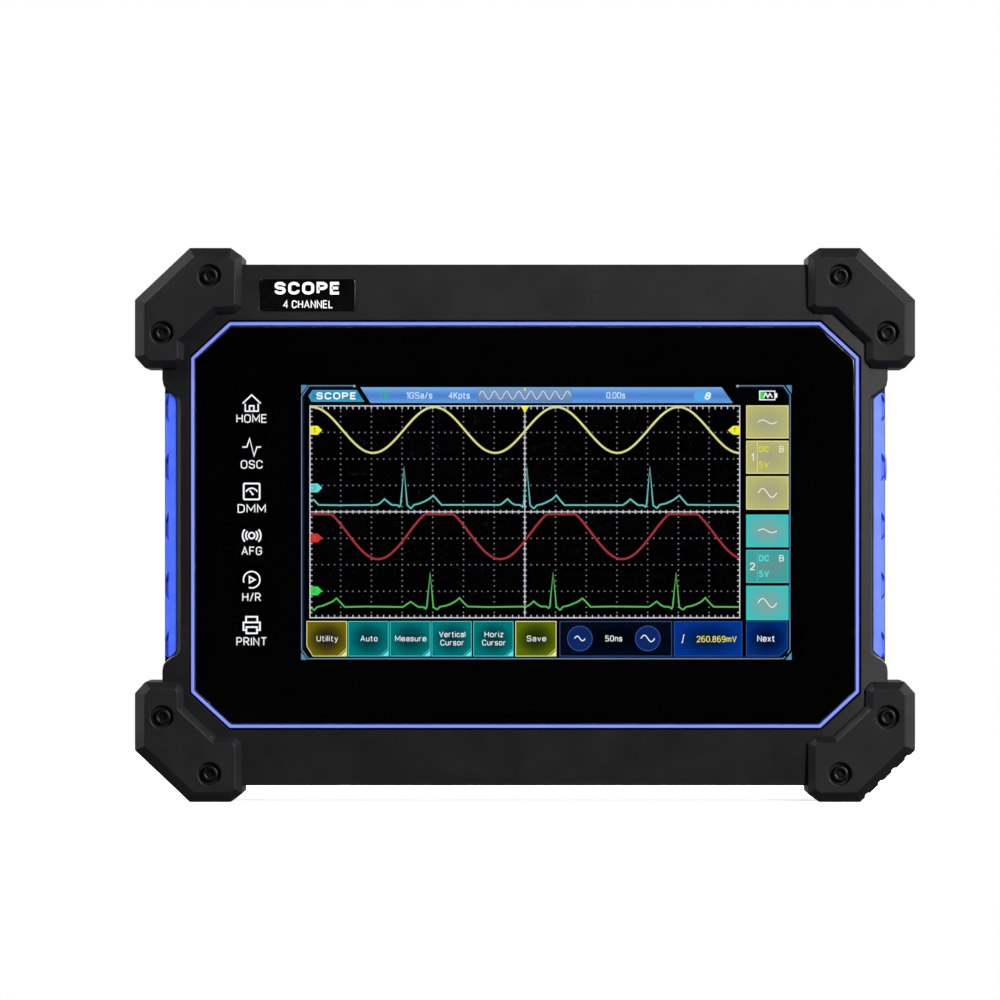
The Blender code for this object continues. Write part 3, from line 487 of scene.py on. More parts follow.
def make_looks():
    looks = {
        "case": Look("case_plastic", (17, 17, 17.5), 0.40).mottle(9.0, 0.25).patina(16.0, 0.05)
        .grain(0.55, 0.035, 0.35, cells=True).grain(0.12, 0.01, 0.4).set(SPECULAR, 0.17),
        "guard": Look("guard_elastomer", (16, 16, 16.5), 0.44).mottle(7.0, 0.3).patina(12.0, 0.06)
        .grain(0.22, 0.018, 0.45).set(SPECULAR, 0.17),
        "grip": Look("grip_rubber", (58, 92, 232), 0.46).mottle(6.0, 0.35, (86, 122, 246)).patina(8.0, 0.06)
        .grain(0.16, 0.015, 0.5).set("Coat Weight", 0.15).set("Coat Roughness", 0.35),
        "trim": Look("trim_blue", (112, 130, 226), 0.34).mottle(14.0, 0.25, (128, 146, 236)).patina(9.0, 0.04)
        .grain(0.1, 0.004, 0.35),
        # Dark navy for the trim ring's side faces: painted shade, standing in for the shade on its chamfers.
        "trim_shade_sides": Look("trim_painted_shade", (8, 12, 78), 0.55).mottle(5.0, 0.3).grain(0.1, 0.01, 0.4),
        "glass": Look("cover_glass", (252, 253, 255), 0.015).set("Transmission Weight", 1.0).set("IOR", 1.48)
        .patina(30.0, 0.01),
        "mask": Look("black_print", (1, 1, 1), 0.7).set(SPECULAR, 0.0).mottle(4.0, 0.2),
        "panel": Look("display_black", (1, 1, 2), 0.7).set(SPECULAR, 0.0).mottle(3.0, 0.2),
        "screw": Look("black_oxide", (16, 16, 18), 0.36, 0.85).mottle(1.2, 0.4, (30, 29, 29)).patina(0.9, 0.08)
        .grain(0.15, 0.006, 0.5),
        "nickel": Look("nickel_plate", (198, 195, 188), 0.24, 1.0).mottle(3.0, 0.3, (172, 168, 160))
        .patina(1.5, 0.06).grain(0.2, 0.003, 0.4),
        "gold": Look("gold_contact", (222, 176, 92), 0.28, 1.0).mottle(1.0, 0.3).patina(0.8, 0.05),
        "ptfe": Look("white_insulator", (226, 226, 220), 0.5).mottle(1.5, 0.3, (206, 206, 200))
        .grain(0.1, 0.006, 0.4),
        "steel": Look("sheet_steel", (168, 168, 170), 0.38, 1.0).mottle(6.0, 0.3, (140, 140, 142)).brushed("x"),
        "aluminium": Look("aluminium", (186, 187, 190), 0.42, 1.0).mottle(4.0, 0.3, (160, 160, 164)).brushed("z"),
        "board": Look("circuit_board", (14, 78, 44), 0.42).mottle(1.4, 0.7, (30, 108, 62))
        .grain(0.9, 0.03, 0.6, cells=True),
        "black": Look("black_nylon", (16, 16, 17), 0.5).set(SPECULAR, 0.25).mottle(5.0, 0.3).patina(7.0, 0.06)
        .grain(0.3, 0.02, 0.45),
        "red": Look("red_nylon", (168, 22, 24), 0.42).mottle(4.0, 0.3, (188, 40, 36)).patina(4.0, 0.05)
        .grain(0.2, 0.01, 0.4),
        "seal": Look("silicone_seal", (24, 24, 25), 0.7).set(SPECULAR, 0.25).mottle(3.0, 0.4).patina(5.0, 0.06)
        .grain(0.15, 0.015, 0.5),
        "battery": Look("battery_wrap", (24, 58, 118), 0.45).mottle(8.0, 0.3).grain(0.4, 0.02, 0.4),
        "badge": Look("badge_gloss", (4, 4, 4), 0.16).patina(6.0, 0.04).mottle(5.0, 0.2).set("Coat Weight", 0.4),
        "ink": Look("white_ink", (236, 236, 234), 0.5).mottle(0.8, 0.2, (222, 222, 220)),
        "keys": glow("screen_keys"),
    }  # fmt: skip
    lights = {
        "white": (248, 248, 250), "tick": (208, 208, 216), "grey": (176, 176, 180), "yellow": (240, 236, 44),
        "yellow_trace": (216, 216, 128), "cyan_trace": (98, 190, 184), "red_trace": (156, 48, 54),
        "green_trace": (86, 184, 86), "cyan": (92, 214, 214), "red_light": (206, 44, 46), "sky": (84, 140, 178),
        "frame_blue": (118, 148, 176), "black_lit": (4, 5, 8), "olive_line": (232, 226, 146),
        "teal_line": (70, 196, 194), "navy_line": (52, 86, 146), "bright_green": (48, 214, 84),
        "dim_green": (30, 196, 104), "corner_cyan": (96, 230, 236), "corner_yellow": (236, 230, 140),
        "pill": (84, 168, 232), "olive_ink": (222, 214, 30), "marker_ink": (120, 112, 20),
        "teal_ink": (70, 226, 220), "key_ink": (240, 238, 226), "yellow_ink": (232, 226, 84),
        "bar_ink": (214, 234, 252), "navy_glow": (2, 22, 50), "knob_blue": (12, 38, 98),
    }  # fmt: skip
    looks.update((name, glow("lit_" + name, rgb)) for name, rgb in lights.items())
    return {name: look.material for name, look in looks.items()}


LOOKS = make_looks()


# ---- flat marks: strokes, shapes and text


# Plain letters as centre lines, one after each bar, in hundredths of a capital's height from its lower left
# corner. A third number is the radius of a rounded corner.
LETTERS = {
    "A": "0,0 32,100 64,0|11,34 53,34",
    "B": "0,53 0,100 48,100,23.5 48,53,23.5 0,53|0,0 0,53 54,53,26.5 54,0,26.5 0,0",
    "C": "56,70 56,100,28 0,100,28 0,0,28 56,0,28 56,30",
    "D": "0,0 0,100 56,100,30 56,0,30 0,0",
    "E": "50,100 0,100 0,0 50,0|0,52 45,52",
    "F": "50,100 0,100 0,0|0,50 44,50",
    "G": "58,72 58,100,29 0,100,29 0,0,29 58,0,29 58,48 32,48",
    "H": "0,0 0,100|56,0 56,100|0,52 56,52",
    "I": "0,0 0,100",
    "K": "0,0 0,100|54,100 0,40|18,60 56,0",
    "L": "0,100 0,0 46,0",
    "M": "0,0 0,100 35,25 70,100 70,0",
    "N": "0,0 0,100 56,0 56,100",
    "O": "0,50 0,100,29 60,100,29 60,0,29 0,0,29 0,50",
    "P": "0,0 0,100 52,100,26 52,46,26 0,46",
    "R": "0,0 0,100 52,100,26 52,48,26 0,48|26,48 56,0",
    "S": "54,74 54,100,26 0,100,26 0,52,25 55,52,25 55,0,26 0,0,26 0,26",
    "T": "0,100 58,100|29,100 29,0",
    "U": "0,100 0,0,28 56,0,28 56,100",
    "V": "0,100 31,0 62,100",
    "a": "3,54 3,72,16 42,72,18 42,0|42,41 0,41,20 0,0,20 42,0,14 42,41",
    "c": "42,50 42,72,21 0,72,21 0,0,21 42,0,21 42,22",
    "e": "44,20 44,0,20 0,0,22 0,72,22 46,72,22 46,37 0,37",
    "i": "0,0 0,72|0,92 0,104",
    "l": "0,0 0,100",
    "m": "0,0 0,72|0,50 0,72,17 34,72,17 34,0|34,50 34,72,17 68,72,17 68,0",
    "n": "0,0 0,72|0,50 0,72,20 42,72,20 42,0",
    "o": "0,36 0,72,22 45,72,22 45,0,22 0,0,22 0,36",
    "p": "0,-26 0,72|0,72 45,72,22 45,0,22 0,0",
    "r": "0,0 0,72|0,45 0,72,20 28,72",
    "s": "40,54 40,72,16 0,72,17 0,37,17 41,37,17 41,0,17 0,0,17 0,18",
    "t": "10,95 10,0,13 32,0|0,72 30,72",
    "u": "0,72 0,0,20 42,0,20 42,72|42,30 42,0",
    "v": "0,72 22,0 44,72",
    "x": "0,0 42,72|0,72 42,0",
    "y": "0,72 22,4|44,72 14,-28 0,-28",
    "z": "0,72 40,72 0,0 40,0",
    "0": "0,50 0,100,27 52,100,27 52,0,27 0,0,27 0,50",
    "1": "0,78 22,100 22,0",
    "2": "0,74 0,100,25 50,100,25 50,56,20 0,0 52,0",
    "3": "0,80 0,100,22 50,100,23 50,53,22 18,53|18,53 53,53,25 53,0,25 0,0,24 0,22",
    "4": "40,0 40,100 0,30 54,30",
    "5": "48,100 5,100 5,58 52,58,24 52,0,25 0,0,24 0,20",
    "6": "0,30 0,60,25 52,60,25 52,0,25 0,0,25 0,30|0,30 0,100,28 46,100",
    "8": "3,77 3,100,22 49,100,22 49,54,22 3,54,22 3,77|0,27 0,54,25 52,54,25 52,0,25 0,0,25 0,27",
    "9": "0,70 0,100,25 52,100,25 52,42,25 0,42,25 0,70|52,70 52,0,28 6,0",
    "/": "0,-5 34,105",
    ".": "0,-7 0,9",
}
LETTER_GAP, WORD_GAP = 0.13, 0.36


def letter_lines(letter):
    """A letter's lines, each with its corners drawn out and whether it closes."""
    lines = []
    for line in LETTERS[letter].split("|"):
        points = [tuple(float(n) / 100 for n in point.split(",")) for point in line.split()]
        closed = points[0] == points[-1]
        points = points[:-1] if closed else points
        radii = [p[2] if len(p) > 2 else 0.0 for p in points]
        lines.append((points, rounded([p[:2] for p in points], radii, 5, 0.97), closed))
    return lines


class Marks:
    """Thin raised marks of several colours on one plane, each colour one mesh.

    Facing names the way they look: "front" (-y) or "top" (+z). Spot turns (u, v) into x and z, or x and y.
    Up is -1 where v grows downwards. Layers lie one step above another.
    """

    def __init__(self, prefix, level, thickness=0.014, step=LAYER_STEP, spot=None, facing="front", up=1):
        self.prefix = prefix
        self.level = level
        self.thickness = thickness
        self.step = step
        self.spot = spot or (lambda u, v: (u, v))
        self.facing = facing
        self.up = up
        self.meshes = {}

    def at(self, u, v, height):
        x, w = self.spot(u, v)
        return (x, self.level - height, w) if self.facing == "front" else (x, w, self.level + height)

    def solid(self, colour, layer, rings, closed=False):
        """A solid through rings of (u, v, top) points, where top is 1 on the mark's face and 0 under it."""
        if colour not in self.meshes:
            self.meshes[colour] = bmesh.new()
        bm = self.meshes[colour]
        heights = (layer * self.step, layer * self.step + self.thickness)
        rings = [[bm.verts.new(self.at(u, v, heights[top])) for u, v, top in ring] for ring in rings]
        skin(bm, rings, closed)

    def shape(self, colour, points, layer=0):
        """A filled outline."""
        self.solid(colour, layer, [[(*p, top) for p in points] for top in (0, 1)])

    def band(self, colour, outer, inner, layer=0):
        """What lies between two outlines."""
        order = ((outer, 0), (outer, 1), (inner, 1), (inner, 0))
        self.solid(colour, layer, [[(*p, top) for p in points] for points, top in order], closed=True)

    def stroke(self, colour, path, width, layer=0, closed=False):
        """A line of even width with mitred joints."""
        spots = [complex(*p) for p in path]
        left, right = [], []
        for i, here in enumerate(spots):
            a = unit(here - spots[i - 1]) if i or closed else None
            b = unit(spots[(i + 1) % len(spots)] - here) if i < len(spots) - 1 or closed else a
            a = b if a is None else a
            side = 1j * (unit(a + b) if abs(a + b) > 1e-6 else a)
            reach = width / 2 / max(0.45, (side / (1j * a)).real)
            left.append(here + side * reach)
            right.append(here - side * reach)
        left, right = ([(p.real, p.imag) for p in edge] for edge in (left, right))
        if closed:
            self.band(colour, left, right, layer)
        else:
            self.solid(colour, layer, [((*a, 0), (*b, 0), (*b, 1), (*a, 1)) for a, b in zip(left, right)])

    def ring(self, colour, centre, radius, width, layer=0):
        outer, inner = (circle(r, 40, centre) for r in (radius + width / 2, radius - width / 2))
        self.band(colour, outer, inner, layer)

    def arc(self, colour, centre, radius, width, start, end, layer=0, steps=16):
        """Part of a circle, with angles in degrees."""
        path = []
        for k in range(steps + 1):
            angle = math.radians(start + (end - start) * k / steps)
            path.append((centre[0] + radius * math.cos(angle), centre[1] + radius * math.sin(angle)))
        self.stroke(colour, path, width, layer)

    def text(self, colour, words, centre, cap, layer=0, weight=0.13, width=None, slant=0.0):
        """Words centred on the point. Weight is the line's width and cap the capitals' height.

        Width stretches the letters, but not their lines.
        """
        pen = 0.0
        lines = []
        for letter in words:
            if letter == " ":
                pen += WORD_GAP
                continue
            strokes = letter_lines(letter)
            lines += [([(x + pen, y) for x, y in path], closed) for _, path, closed in strokes]
            pen += max(p[0] for points, _, _ in strokes for p in points) + weight + LETTER_GAP
        span = pen - weight - LETTER_GAP
        scale = (width - weight * cap) / span if width else cap
        for path, closed in lines:
            placed = []
            for x, y in path:
                rise = (y * (1 - weight) - (1 - weight) / 2) * cap
                placed.append((centre[0] + (x - span / 2) * scale + slant * rise, centre[1] + rise * self.up))
            self.stroke(colour, placed, weight * cap, layer, closed)

    def finish(self, slot):
        for colour, bm in self.meshes.items():
            bmesh.ops.recalc_face_normals(bm, faces=bm.faces)
            obj = new_object(f"{self.prefix}_{colour}", mesh_from(f"{self.prefix}_{colour}", bm))
            settle(obj.data)
            obj.data.materials.append(LOOKS[colour])
            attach(obj, "case")


# ---- front


CASE_FULL = four_way(CASE_QUARTER)
CASE_NOTCHED = four_way(CASE_QUARTER + NOTCH_QUARTER)
RING_OUTER = cut_corner_box(RING_HALF, RING_CUT)
RING_INNER = inset(RING_OUTER, RING_WIDTH)
# How far the bezel's facets fall back for each millimetre out from the trim ring.
SIDE_SLOPE, OTHER_SLOPE = 0.14, 0.07


def front_bezel():
    quarter = (0.8, 0.8, 0.8, 0.6, 2.0, 3.0, 3.0, 2.4, 2.4)
    radii = (list(quarter) + list(quarter)[::-1]) * 2
    edges = four_way_edges(BEZEL_CHAMFERS, 1.8, BEZEL_CHAMFERS[0])
    face = rounded(inset(CASE_NOTCHED, edges), radii, 3)
    side = rounded(CASE_NOTCHED, radii, 3)

    def body(bm):
        add_loft(bm, [(face, CASE_FRONT), (side, CASE_FRONT + 1.6), (side, PARTING)])
        count = len(RING_OUTER)
        for i in range(count):
            a, b = Vector(RING_OUTER[i]), Vector(RING_OUTER[(i + 1) % count])
            along = (b - a).normalized()
            out = Vector((along.y, -along.x))
            if out.dot(a + b) < 0:
                out = -out
            slope = SIDE_SLOPE if abs(out.x) > 0.99 else OTHER_SLOPE
            shave(bm, (a.x, CASE_FRONT, a.y), out, slope)

    def window(bm):
        add_prism(bm, inset(RING_OUTER, -0.3), CASE_FRONT - 2, GLASS_SEAT)
        add_prism(bm, box_outline((88.4, 52.9), DISPLAY_CENTRE), GLASS_SEAT - 0.5, BEZEL_WALL_BACK + 1)

    def screw_holes(bm):
        for signs in CORNERS.values():
            for spot in GUARD_SCREWS:
                add_prism(bm, circle(1.8, 16, mirrored(spot, signs)), CASE_FRONT - 1, -12.2)
            add_prism(bm, circle(1.8, 16, mirrored(CASE_SCREW, signs)), -14.4, PARTING + 1)

    hollow = draws(add_prism, four_way(CAVITY_QUARTER), BEZEL_WALL_BACK, PARTING + 2)
    recess = rounded(box_outline((16.4, 5.65), BADGE_CENTRE), 1.2, 5)
    badge_recess = draws(add_prism, recess, CASE_FRONT - 1, CASE_FRONT + 0.75)
    cuts = (hollow, window, badge_recess, screw_holes)
    piece("bezel", body, "case", nodes=("front_bezel",), cuts=cuts, bevel=0.22)


def trim_and_glass():
    crest = CASE_FRONT - 0.45
    ring = (
        (inset(RING_OUTER, 0.1), GLASS_SEAT - 0.3), (inset(RING_OUTER, 0.1), CASE_FRONT + 0.25),
        (inset(RING_OUTER, 0.42), crest), (inset(RING_INNER, -0.36), crest),
        (inset(RING_INNER, -0.05), CASE_FRONT + 0.2), (inset(RING_INNER, -0.05), GLASS_SEAT - 0.3),
    )  # fmt: skip
    draw = draws(add_loft, ring, closed=True)
    made = piece("blue_trim", draw, ("trim", "trim_shade_sides"), nodes=("trim_ring",), bevel=0.07)
    # Faces turned away from the front get the dark navy: painted shade on the ring's chamfers and walls.
    for polygon in made.data.polygons:
        if polygon.normal.y > -0.8:
            polygon.material_index = 1

    pane = inset(RING_INNER, 0.2)
    levels = ((0.30, GLASS_FRONT), (0.12, GLASS_FRONT + 0.06), (0.02, GLASS_FRONT + 0.18))
    sections = [(inset(pane, inward), y) for inward, y in levels]
    sections += [(pane, GLASS_FRONT + 0.34), (pane, GLASS_BACK)]
    piece("glass_pane", draws(add_loft, sections), "glass", nodes=("touch_glass",))
    mask = draws(add_prism, inset(pane, 0.05), GLASS_BACK + 0.04, GLASS_BACK + 0.12)
    lit_window = draws(add_prism, box_outline(DISPLAY_HALF, DISPLAY_CENTRE), GLASS_BACK - 1, GLASS_BACK + 1)
    piece("glass_black_print", mask, "mask", cuts=(lit_window,))
    panel = draws(add_prism, box_outline((86.6, 51.1), DISPLAY_CENTRE), PANEL_FRONT, -14.8)
    piece("display_cell", panel, "panel", nodes=("display_panel",), bevel=0.1)


def name_badge():
    outline = box_outline((16.15, 5.4), BADGE_CENTRE)
    front = CASE_FRONT + 0.02
    sections = [
        (rounded(inset(outline, 0.18), 0.9, 6), front), (rounded(inset(outline, 0.05), 1.0, 6), front + 0.08),
        (rounded(outline, 1.05, 6), front + 0.2), (rounded(outline, 1.05, 6), CASE_FRONT + 0.7),
    ]  # fmt: skip
    piece("badge", draws(add_loft, sections), "badge", nodes=("name_badge",))
    marks = Marks("badge", CASE_FRONT, thickness=0.05)
    marks.text("ink", "SCOPE", (-73.9, 80.45), 4.3, weight=0.23, width=22.4)
    marks.text("ink", "4 CHANNEL", (-73.7, 75.0), 2.7, weight=0.14, width=16.9)
    marks.finish("badge")


# ---- corner guards and screws


def corner_guard(corner, signs):
    def outline_at(share):
        moved = inset(GUARD_OUTLINE, [c * share for c in GUARD_CHAMFERS])
        return [mirrored(p, signs) for p in rounded(moved, 0.55, 2)]

    face, side = outline_at(1.0), outline_at(0.0)
    sections = [(face, GUARD_FRONT), (side, GUARD_FRONT + 3.0), (side, GUARD_BACK - 3.0), (face, GUARD_BACK)]
    case_space = draws(add_prism, inset(CASE_FULL, -0.12), CASE_FRONT - 0.12, CASE_BACK + 0.12)

    def bores(bm):
        """Eased counterbores for two screws from the front and one from the back."""
        for spot, way in ((GUARD_SCREWS[0], 1), (GUARD_SCREWS[1], 1), (CASE_SCREW, -1)):
            mouth, end = (GUARD_FRONT, CASE_FRONT) if way == 1 else (GUARD_BACK, CASE_BACK)
            levels = (
                (4.35, mouth - 0.3 * way), (3.75, mouth + 0.32 * way), (3.75, mouth + 2.6 * way),
                (1.85, mouth + 2.6 * way), (1.85, end + way),
            )  # fmt: skip
            add_loft(bm, [(circle(r, 48, mirrored(spot, signs)), y) for r, y in levels])

    def grooves(bm):
        """Four shallow grip grooves across the slanting side."""
        start, end = Vector((132.5, -76.5)), Vector((113.9, -94.1))
        along = (end - start).normalized()
        outward = Vector((-along.y, along.x))
        if outward.x < 0:
            outward = -outward
        for i in range(4):
            middle = start + along * (3.8 + 6.2 * i)
            shape = ((1.3, 1.0), (0.75, -0.35), (0.45, -0.6), (-0.75, -0.6), (-1.05, -0.35), (-1.6, 1.0))
            corners = [tuple(middle + along * a + outward * b) for a, b in shape]
            add_prism(bm, corners, GUARD_FRONT + 1.4, GUARD_BACK - 1.4)

    cuts = (case_space, bores, grooves) if corner == "lower_right" else (case_space, bores)
    nodes = (f"corner_guard_{corner}",)
    piece(f"guard_{corner}", draws(add_loft, sections), "guard", nodes=nodes, cuts=cuts, bevel=0.26, steps=3)


def scaled(points, share):
    return [(x * share, z * share) for x, z in points]


def screw(name, node, seat, facing, shank, head_r=2.75, head_h=1.6, shank_r=1.5, look="screw"):
    """A socket-head screw. Seat is the middle of its head's underside."""
    segments = 48
    hexagon = []
    for i in range(6):
        a, b = (cmath.rect(head_r * 0.52, math.pi * k / 3) for k in (i, i + 1))
        spots = [a + (b - a) * k / 8 for k in range(8)]
        hexagon += [(spot.real, spot.imag) for spot in spots]
    socket = scaled(hexagon, 0.97)
    rings = (
        (shank_r * 0.7, -shank), (shank_r, 0.5 - shank), (shank_r, 0.0), (head_r - 0.12, 0.0), (head_r, 0.12),
        (head_r, head_h - 0.38), (head_r - 0.11, head_h - 0.11), (head_r - 0.38, head_h),
    )  # fmt: skip
    levels = [(circle(radius, segments), height) for radius, height in rings]
    levels += [(scaled(circle(head_r * 0.53, segments), 1.1), head_h)]
    levels += [(socket, head_h - 0.18), (socket, head_h - 1.05)]
    draw = draws(add_loft, [(points, height * facing) for points, height in levels])
    piece(name, draw, look, nodes=(node,), at=seat)


def all_screws():
    for corner, signs in CORNERS.items():
        for number, spot in enumerate(GUARD_SCREWS, 1):
            x, z = mirrored(spot, signs)
            seat = (x, GUARD_FRONT + 2.4, z)
            screw(f"screw_{corner}_{number}", f"guard_screw_{corner}_{number}", seat, -1, 10.0)
        x, z = mirrored(CASE_SCREW, signs)
        screw(f"rear_screw_{corner}", f"case_screw_{corner}", (x, GUARD_BACK - 2.4, z), 1, 36.5)
    for side, sign in (("left", -1), ("right", 1)):
        seat = (46.0 * sign, CASE_BACK - 1.4, 60.4)
        screw(f"door_screw_{side}", f"battery_door_screw_{side}", seat, 1, 7.0, 2.3, 1.2, 1.2, "nickel")


# ---- side grips


def hand_grip(side, sign):
    front, back = -18.2, GRIP_BACK - 0.3
    section = ((118.5, 43.2), (121.5, 45.2), (122.3, 44.2))
    outline = list(section) + [(x, -z) for x, z in reversed(section)]
    radii = (0.6, 1.1, 0.8, 0.8, 1.1, 0.6)

    def ring_at(inward):
        moved = [(x - inward if x > 120 else x, z - math.copysign(inward * 0.6, z)) for x, z in outline]
        return [(sign * x, z) for x, z in rounded(moved, radii, 3)]

    def body(bm):
        sections = [
            (ring_at(1.0), front), (ring_at(0.45), front + 0.18), (ring_at(0.12), front + 0.5),
            (ring_at(0.0), front + 1.0), (ring_at(0.0), back - 0.3), (ring_at(0.25), back),
        ]  # fmt: skip
        add_loft(bm, sections)
        shave(bm, (sign * 118.9, front, 0.0), (sign, 0.0), 0.36)
        shave(bm, (sign * 122.0, front + 1.12, 0.0), (sign, 0.0), 1.4)

    def notches(bm):
        """Finger notches: dovetail pockets whose ends slope away from the front."""
        mouth = ((124.0, 4.2), (122.3, 4.2), (121.2, 5.4), (121.2, -4.4), (122.3, -3.2), (124.0, -3.2))
        floor = ((124.0, 1.9), (122.3, 1.9), (121.4, 3.2), (121.4, -3.2), (122.3, -1.9), (124.0, -1.9))
        for i in range(5):
            z = 39.4 - 20.2 * i
            outer, inner = ([(sign * a, z + b) for a, b in points] for points in (mouth, floor))
            add_loft(bm, [(outer, front - 0.5), (outer, front + 0.9), (inner, front + 3.0)])

    def ribs(bm):
        low, high = sorted((sign * 121.95, sign * 123.5))
        for i in range(19):
            z = -41.4 + 4.6 * i
            add_prism(bm, box(low, front + 4.2, high, back - 2.0), z - 0.45, z + 0.45, "z")

    piece(f"grip_{side}", body, "grip", nodes=(f"hand_grip_{side}",), cuts=(notches, ribs))


# ---- sockets in the top


def bnc(index, name):
    at = (BNC_FIRST_X + index * BNC_PITCH, CONNECTOR_Y, PANEL_TOP)
    shell = (
        (0.0, -8.0), (4.0, -8.0), (4.3, -7.6), (4.3, 0.1), (4.75, 0.1), (4.75, 7.4), (4.82, 7.6),
        (4.82, 13.5), (4.55, 13.9), (4.15, 13.9), (4.05, 13.6), (4.05, 4.0), (0.0, 4.0),
    )  # fmt: skip
    insulator = ((0.0, 4.02), (3.0, 4.02), (3.0, 9.4), (2.7, 9.7), (1.3, 9.7), (1.15, 9.5), (1.15, 6.0), (0.0, 6.0))
    contact = ((0.0, 6.02), (1.0, 6.02), (1.0, 9.9), (0.8, 10.1), (0.55, 10.1), (0.55, 7.5), (0.0, 7.5))

    def lugs(bm):
        for start, end in ((-5.85, -4.5), (4.5, 5.85)):
            add_prism(bm, circle(0.98, 16, (0.0, 11.0)), start, end, "x")

    draw = draws(add_turned, shell, 56)
    piece(f"{name}_shell", draw, "nickel", nodes=(name,), joins=(lugs,), at=at, bevel=0.08)
    levels = ((0.92, 0.25), (1.0, 0.6), (1.0, 1.9), (0.93, 2.3))
    nut = draws(add_loft, [(scaled(circle(7.0, 6), share), height) for share, height in levels], "z")
    nut_bore = draws(add_prism, circle(4.85, 40), -1, 4, "z")
    piece(f"{name}_nut", nut, "nickel", cuts=(nut_bore,), at=at, bevel=0.1)
    piece(f"{name}_insulator", draws(add_turned, insulator, 40), "ptfe", at=at)
    piece(f"{name}_contact", draws(add_turned, contact, 24), "gold", at=at)


def jack(index, name, look):
    at = (JACK_FIRST_X + index * JACK_PITCH, CONNECTOR_Y, PANEL_TOP)
    shroud = (
        (0.0, -8.0), (5.3, -8.0), (5.3, 0.1), (7.0, 0.1), (7.2, 0.35), (7.2, 1.5), (6.9, 1.9),
        (6.15, 2.0), (6.0, 2.2), (6.0, 9.0), (5.7, 9.35), (5.0, 9.4), (4.7, 9.1), (4.7, 0.8), (3.4, 0.8),
        (3.4, 7.8), (3.15, 8.1), (2.5, 8.1), (2.4, 7.8), (2.4, -4.2), (0.0, -4.2),
    )  # fmt: skip
    sleeve = ((2.38, -4.1), (2.38, 7.6), (2.25, 7.75), (2.05, 7.6), (2.05, -4.1))
    piece(f"{name}_shroud", draws(add_turned, shroud, 56), look, nodes=(name,), at=at)
    rings = [(circle(r, 32), h) for r, h in sleeve]
    piece(f"{name}_sleeve", draws(add_loft, rings, "z", closed=True), "nickel", at=at)


def top_sockets():
    sockets = (
        ("bnc_channel_1", "CH1"), ("bnc_channel_2", "CH2"), ("bnc_channel_3", "CH3"), ("bnc_channel_4", "CH4"),
        ("bnc_generator", "GEN"),
    )  # fmt: skip
    jacks = (
        ("jack_ampere", "red", "A"), ("jack_milliampere", "red", "mA"), ("jack_common", "black", "COM"),
        ("jack_volt", "red", "V"),
    )  # fmt: skip
    marks = Marks("socket", PANEL_TOP, thickness=0.05, facing="top")
    for index, (name, words) in enumerate(sockets):
        bnc(index, name)
        marks.text("ink", words, (BNC_FIRST_X + index * BNC_PITCH, -2.9), 2.2, weight=0.16)
    for index, (name, look, words) in enumerate(jacks):
        jack(index, name, look)
        marks.text("ink", words, (JACK_FIRST_X + index * JACK_PITCH, -2.9), 2.2, weight=0.16)
    marks.finish("black")


# ---- port door


def port_flap():
    """A rubber door over the ports: a flap with a finger lip, on a barrel."""
    half, reach = 32.9, 13.5
    edge, inner = -reach, -reach + 0.4
    outline = rounded(((-0.25, edge), (0.95, edge), (0.95, -0.5), (-0.25, -0.5)), (0.3, 0.1, 0.1, 0.1))
    ends = inset(outline, 0.12)
    flap = draws(add_loft, [(ends, -half), (outline, 0.2 - half), (outline, half - 0.2), (ends, half)], "z")
    barrel = draws(add_prism, circle(1.15, 32), -half, half, "z")
    outline = rounded(((-0.85, inner), (-0.1, inner), (-0.1, 1.9 - reach), (-0.6, 1.9 - reach)), 0.15)
    ends = inset(outline, 0.15)
    lip = draws(add_loft, [(ends, -7.0), (outline, -6.6), (outline, 6.6), (ends, 7.0)], "z")
    bore = draws(add_prism, circle(0.75, 24), -half - 1, half + 1, "z")

    def relief(bm):
        """Shallow fields over the groups of ports."""
        for low, high in ((-29.5, -17.0), (-15.0, 15.5), (17.5, 29.5)):
            field = rounded(box(2.4 - reach, low, -2.6, high), 1.0, 4)
            add_prism(bm, field, -0.6, 0.05, "x")

    piece(
        "port_flap", flap, "seal", body="port_door", nodes=("port_door",),
        joins=(barrel, lip), cuts=(relief, bore), bevel=0.09, at=(-122.0, 17.2, 0.0),
    )  # fmt: skip


# ---- power button


def power_button():
    body, at = "power_button", (0.0, 11.2, 20.0)
    cap = (
        (0.0, 115.4), (2.0, 115.4), (2.0, 117.8), (6.2, 117.8), (6.2, 119.3), (4.9, 119.3), (4.9, 123.3),
        (4.82, 123.7), (4.5, 124.0), (3.9, 124.1), (3.4, 124.05), (2.0, 123.8), (0.0, 123.75),
    )  # fmt: skip
    piece("button_cap", draws(add_turned, cap, 64, axis="x"), "grip", body=body, nodes=("power_button",), at=at)

    def symbol(bm):
        """An open ring, and a bar in its gap."""
        angles = [math.radians(125 + 290 * k / 24) for k in range(25)]
        inner, outer = ([(radius * math.cos(a), radius * math.sin(a)) for a in angles] for radius in (1.25, 1.7))
        for outline in (inner + outer[::-1], box_outline((0.22, 0.75), (0.0, 1.35))):
            add_prism(bm, outline, 123.70, 123.86, "x")

    piece("button_symbol", symbol, "ink", body=body, at=at)


# ---- display contents

SCREEN_LEFT = DISPLAY_CENTRE[0] - DISPLAY_HALF[0]
SCREEN_TOP = DISPLAY_CENTRE[1] + DISPLAY_HALF[1]
GRID_LEFT, GRID_TOP = 3.06, 7.13
DIVISION = (10.435, 9.0)
DIVISIONS = (14, 8)
GRID_RIGHT = GRID_LEFT + DIVISION[0] * DIVISIONS[0]
GRID_BOTTOM = GRID_TOP + DIVISION[1] * DIVISIONS[1]
PLATE = 0.014  # a plate's thickness


def screen_spot(u, v):
    """A point of the case from millimetres right of and below the display's upper left corner."""
    return (SCREEN_LEFT + u, SCREEN_TOP - v)


def mix(a, b, share):
    return tuple(p + (q - p) * share for p, q in zip(a, b))


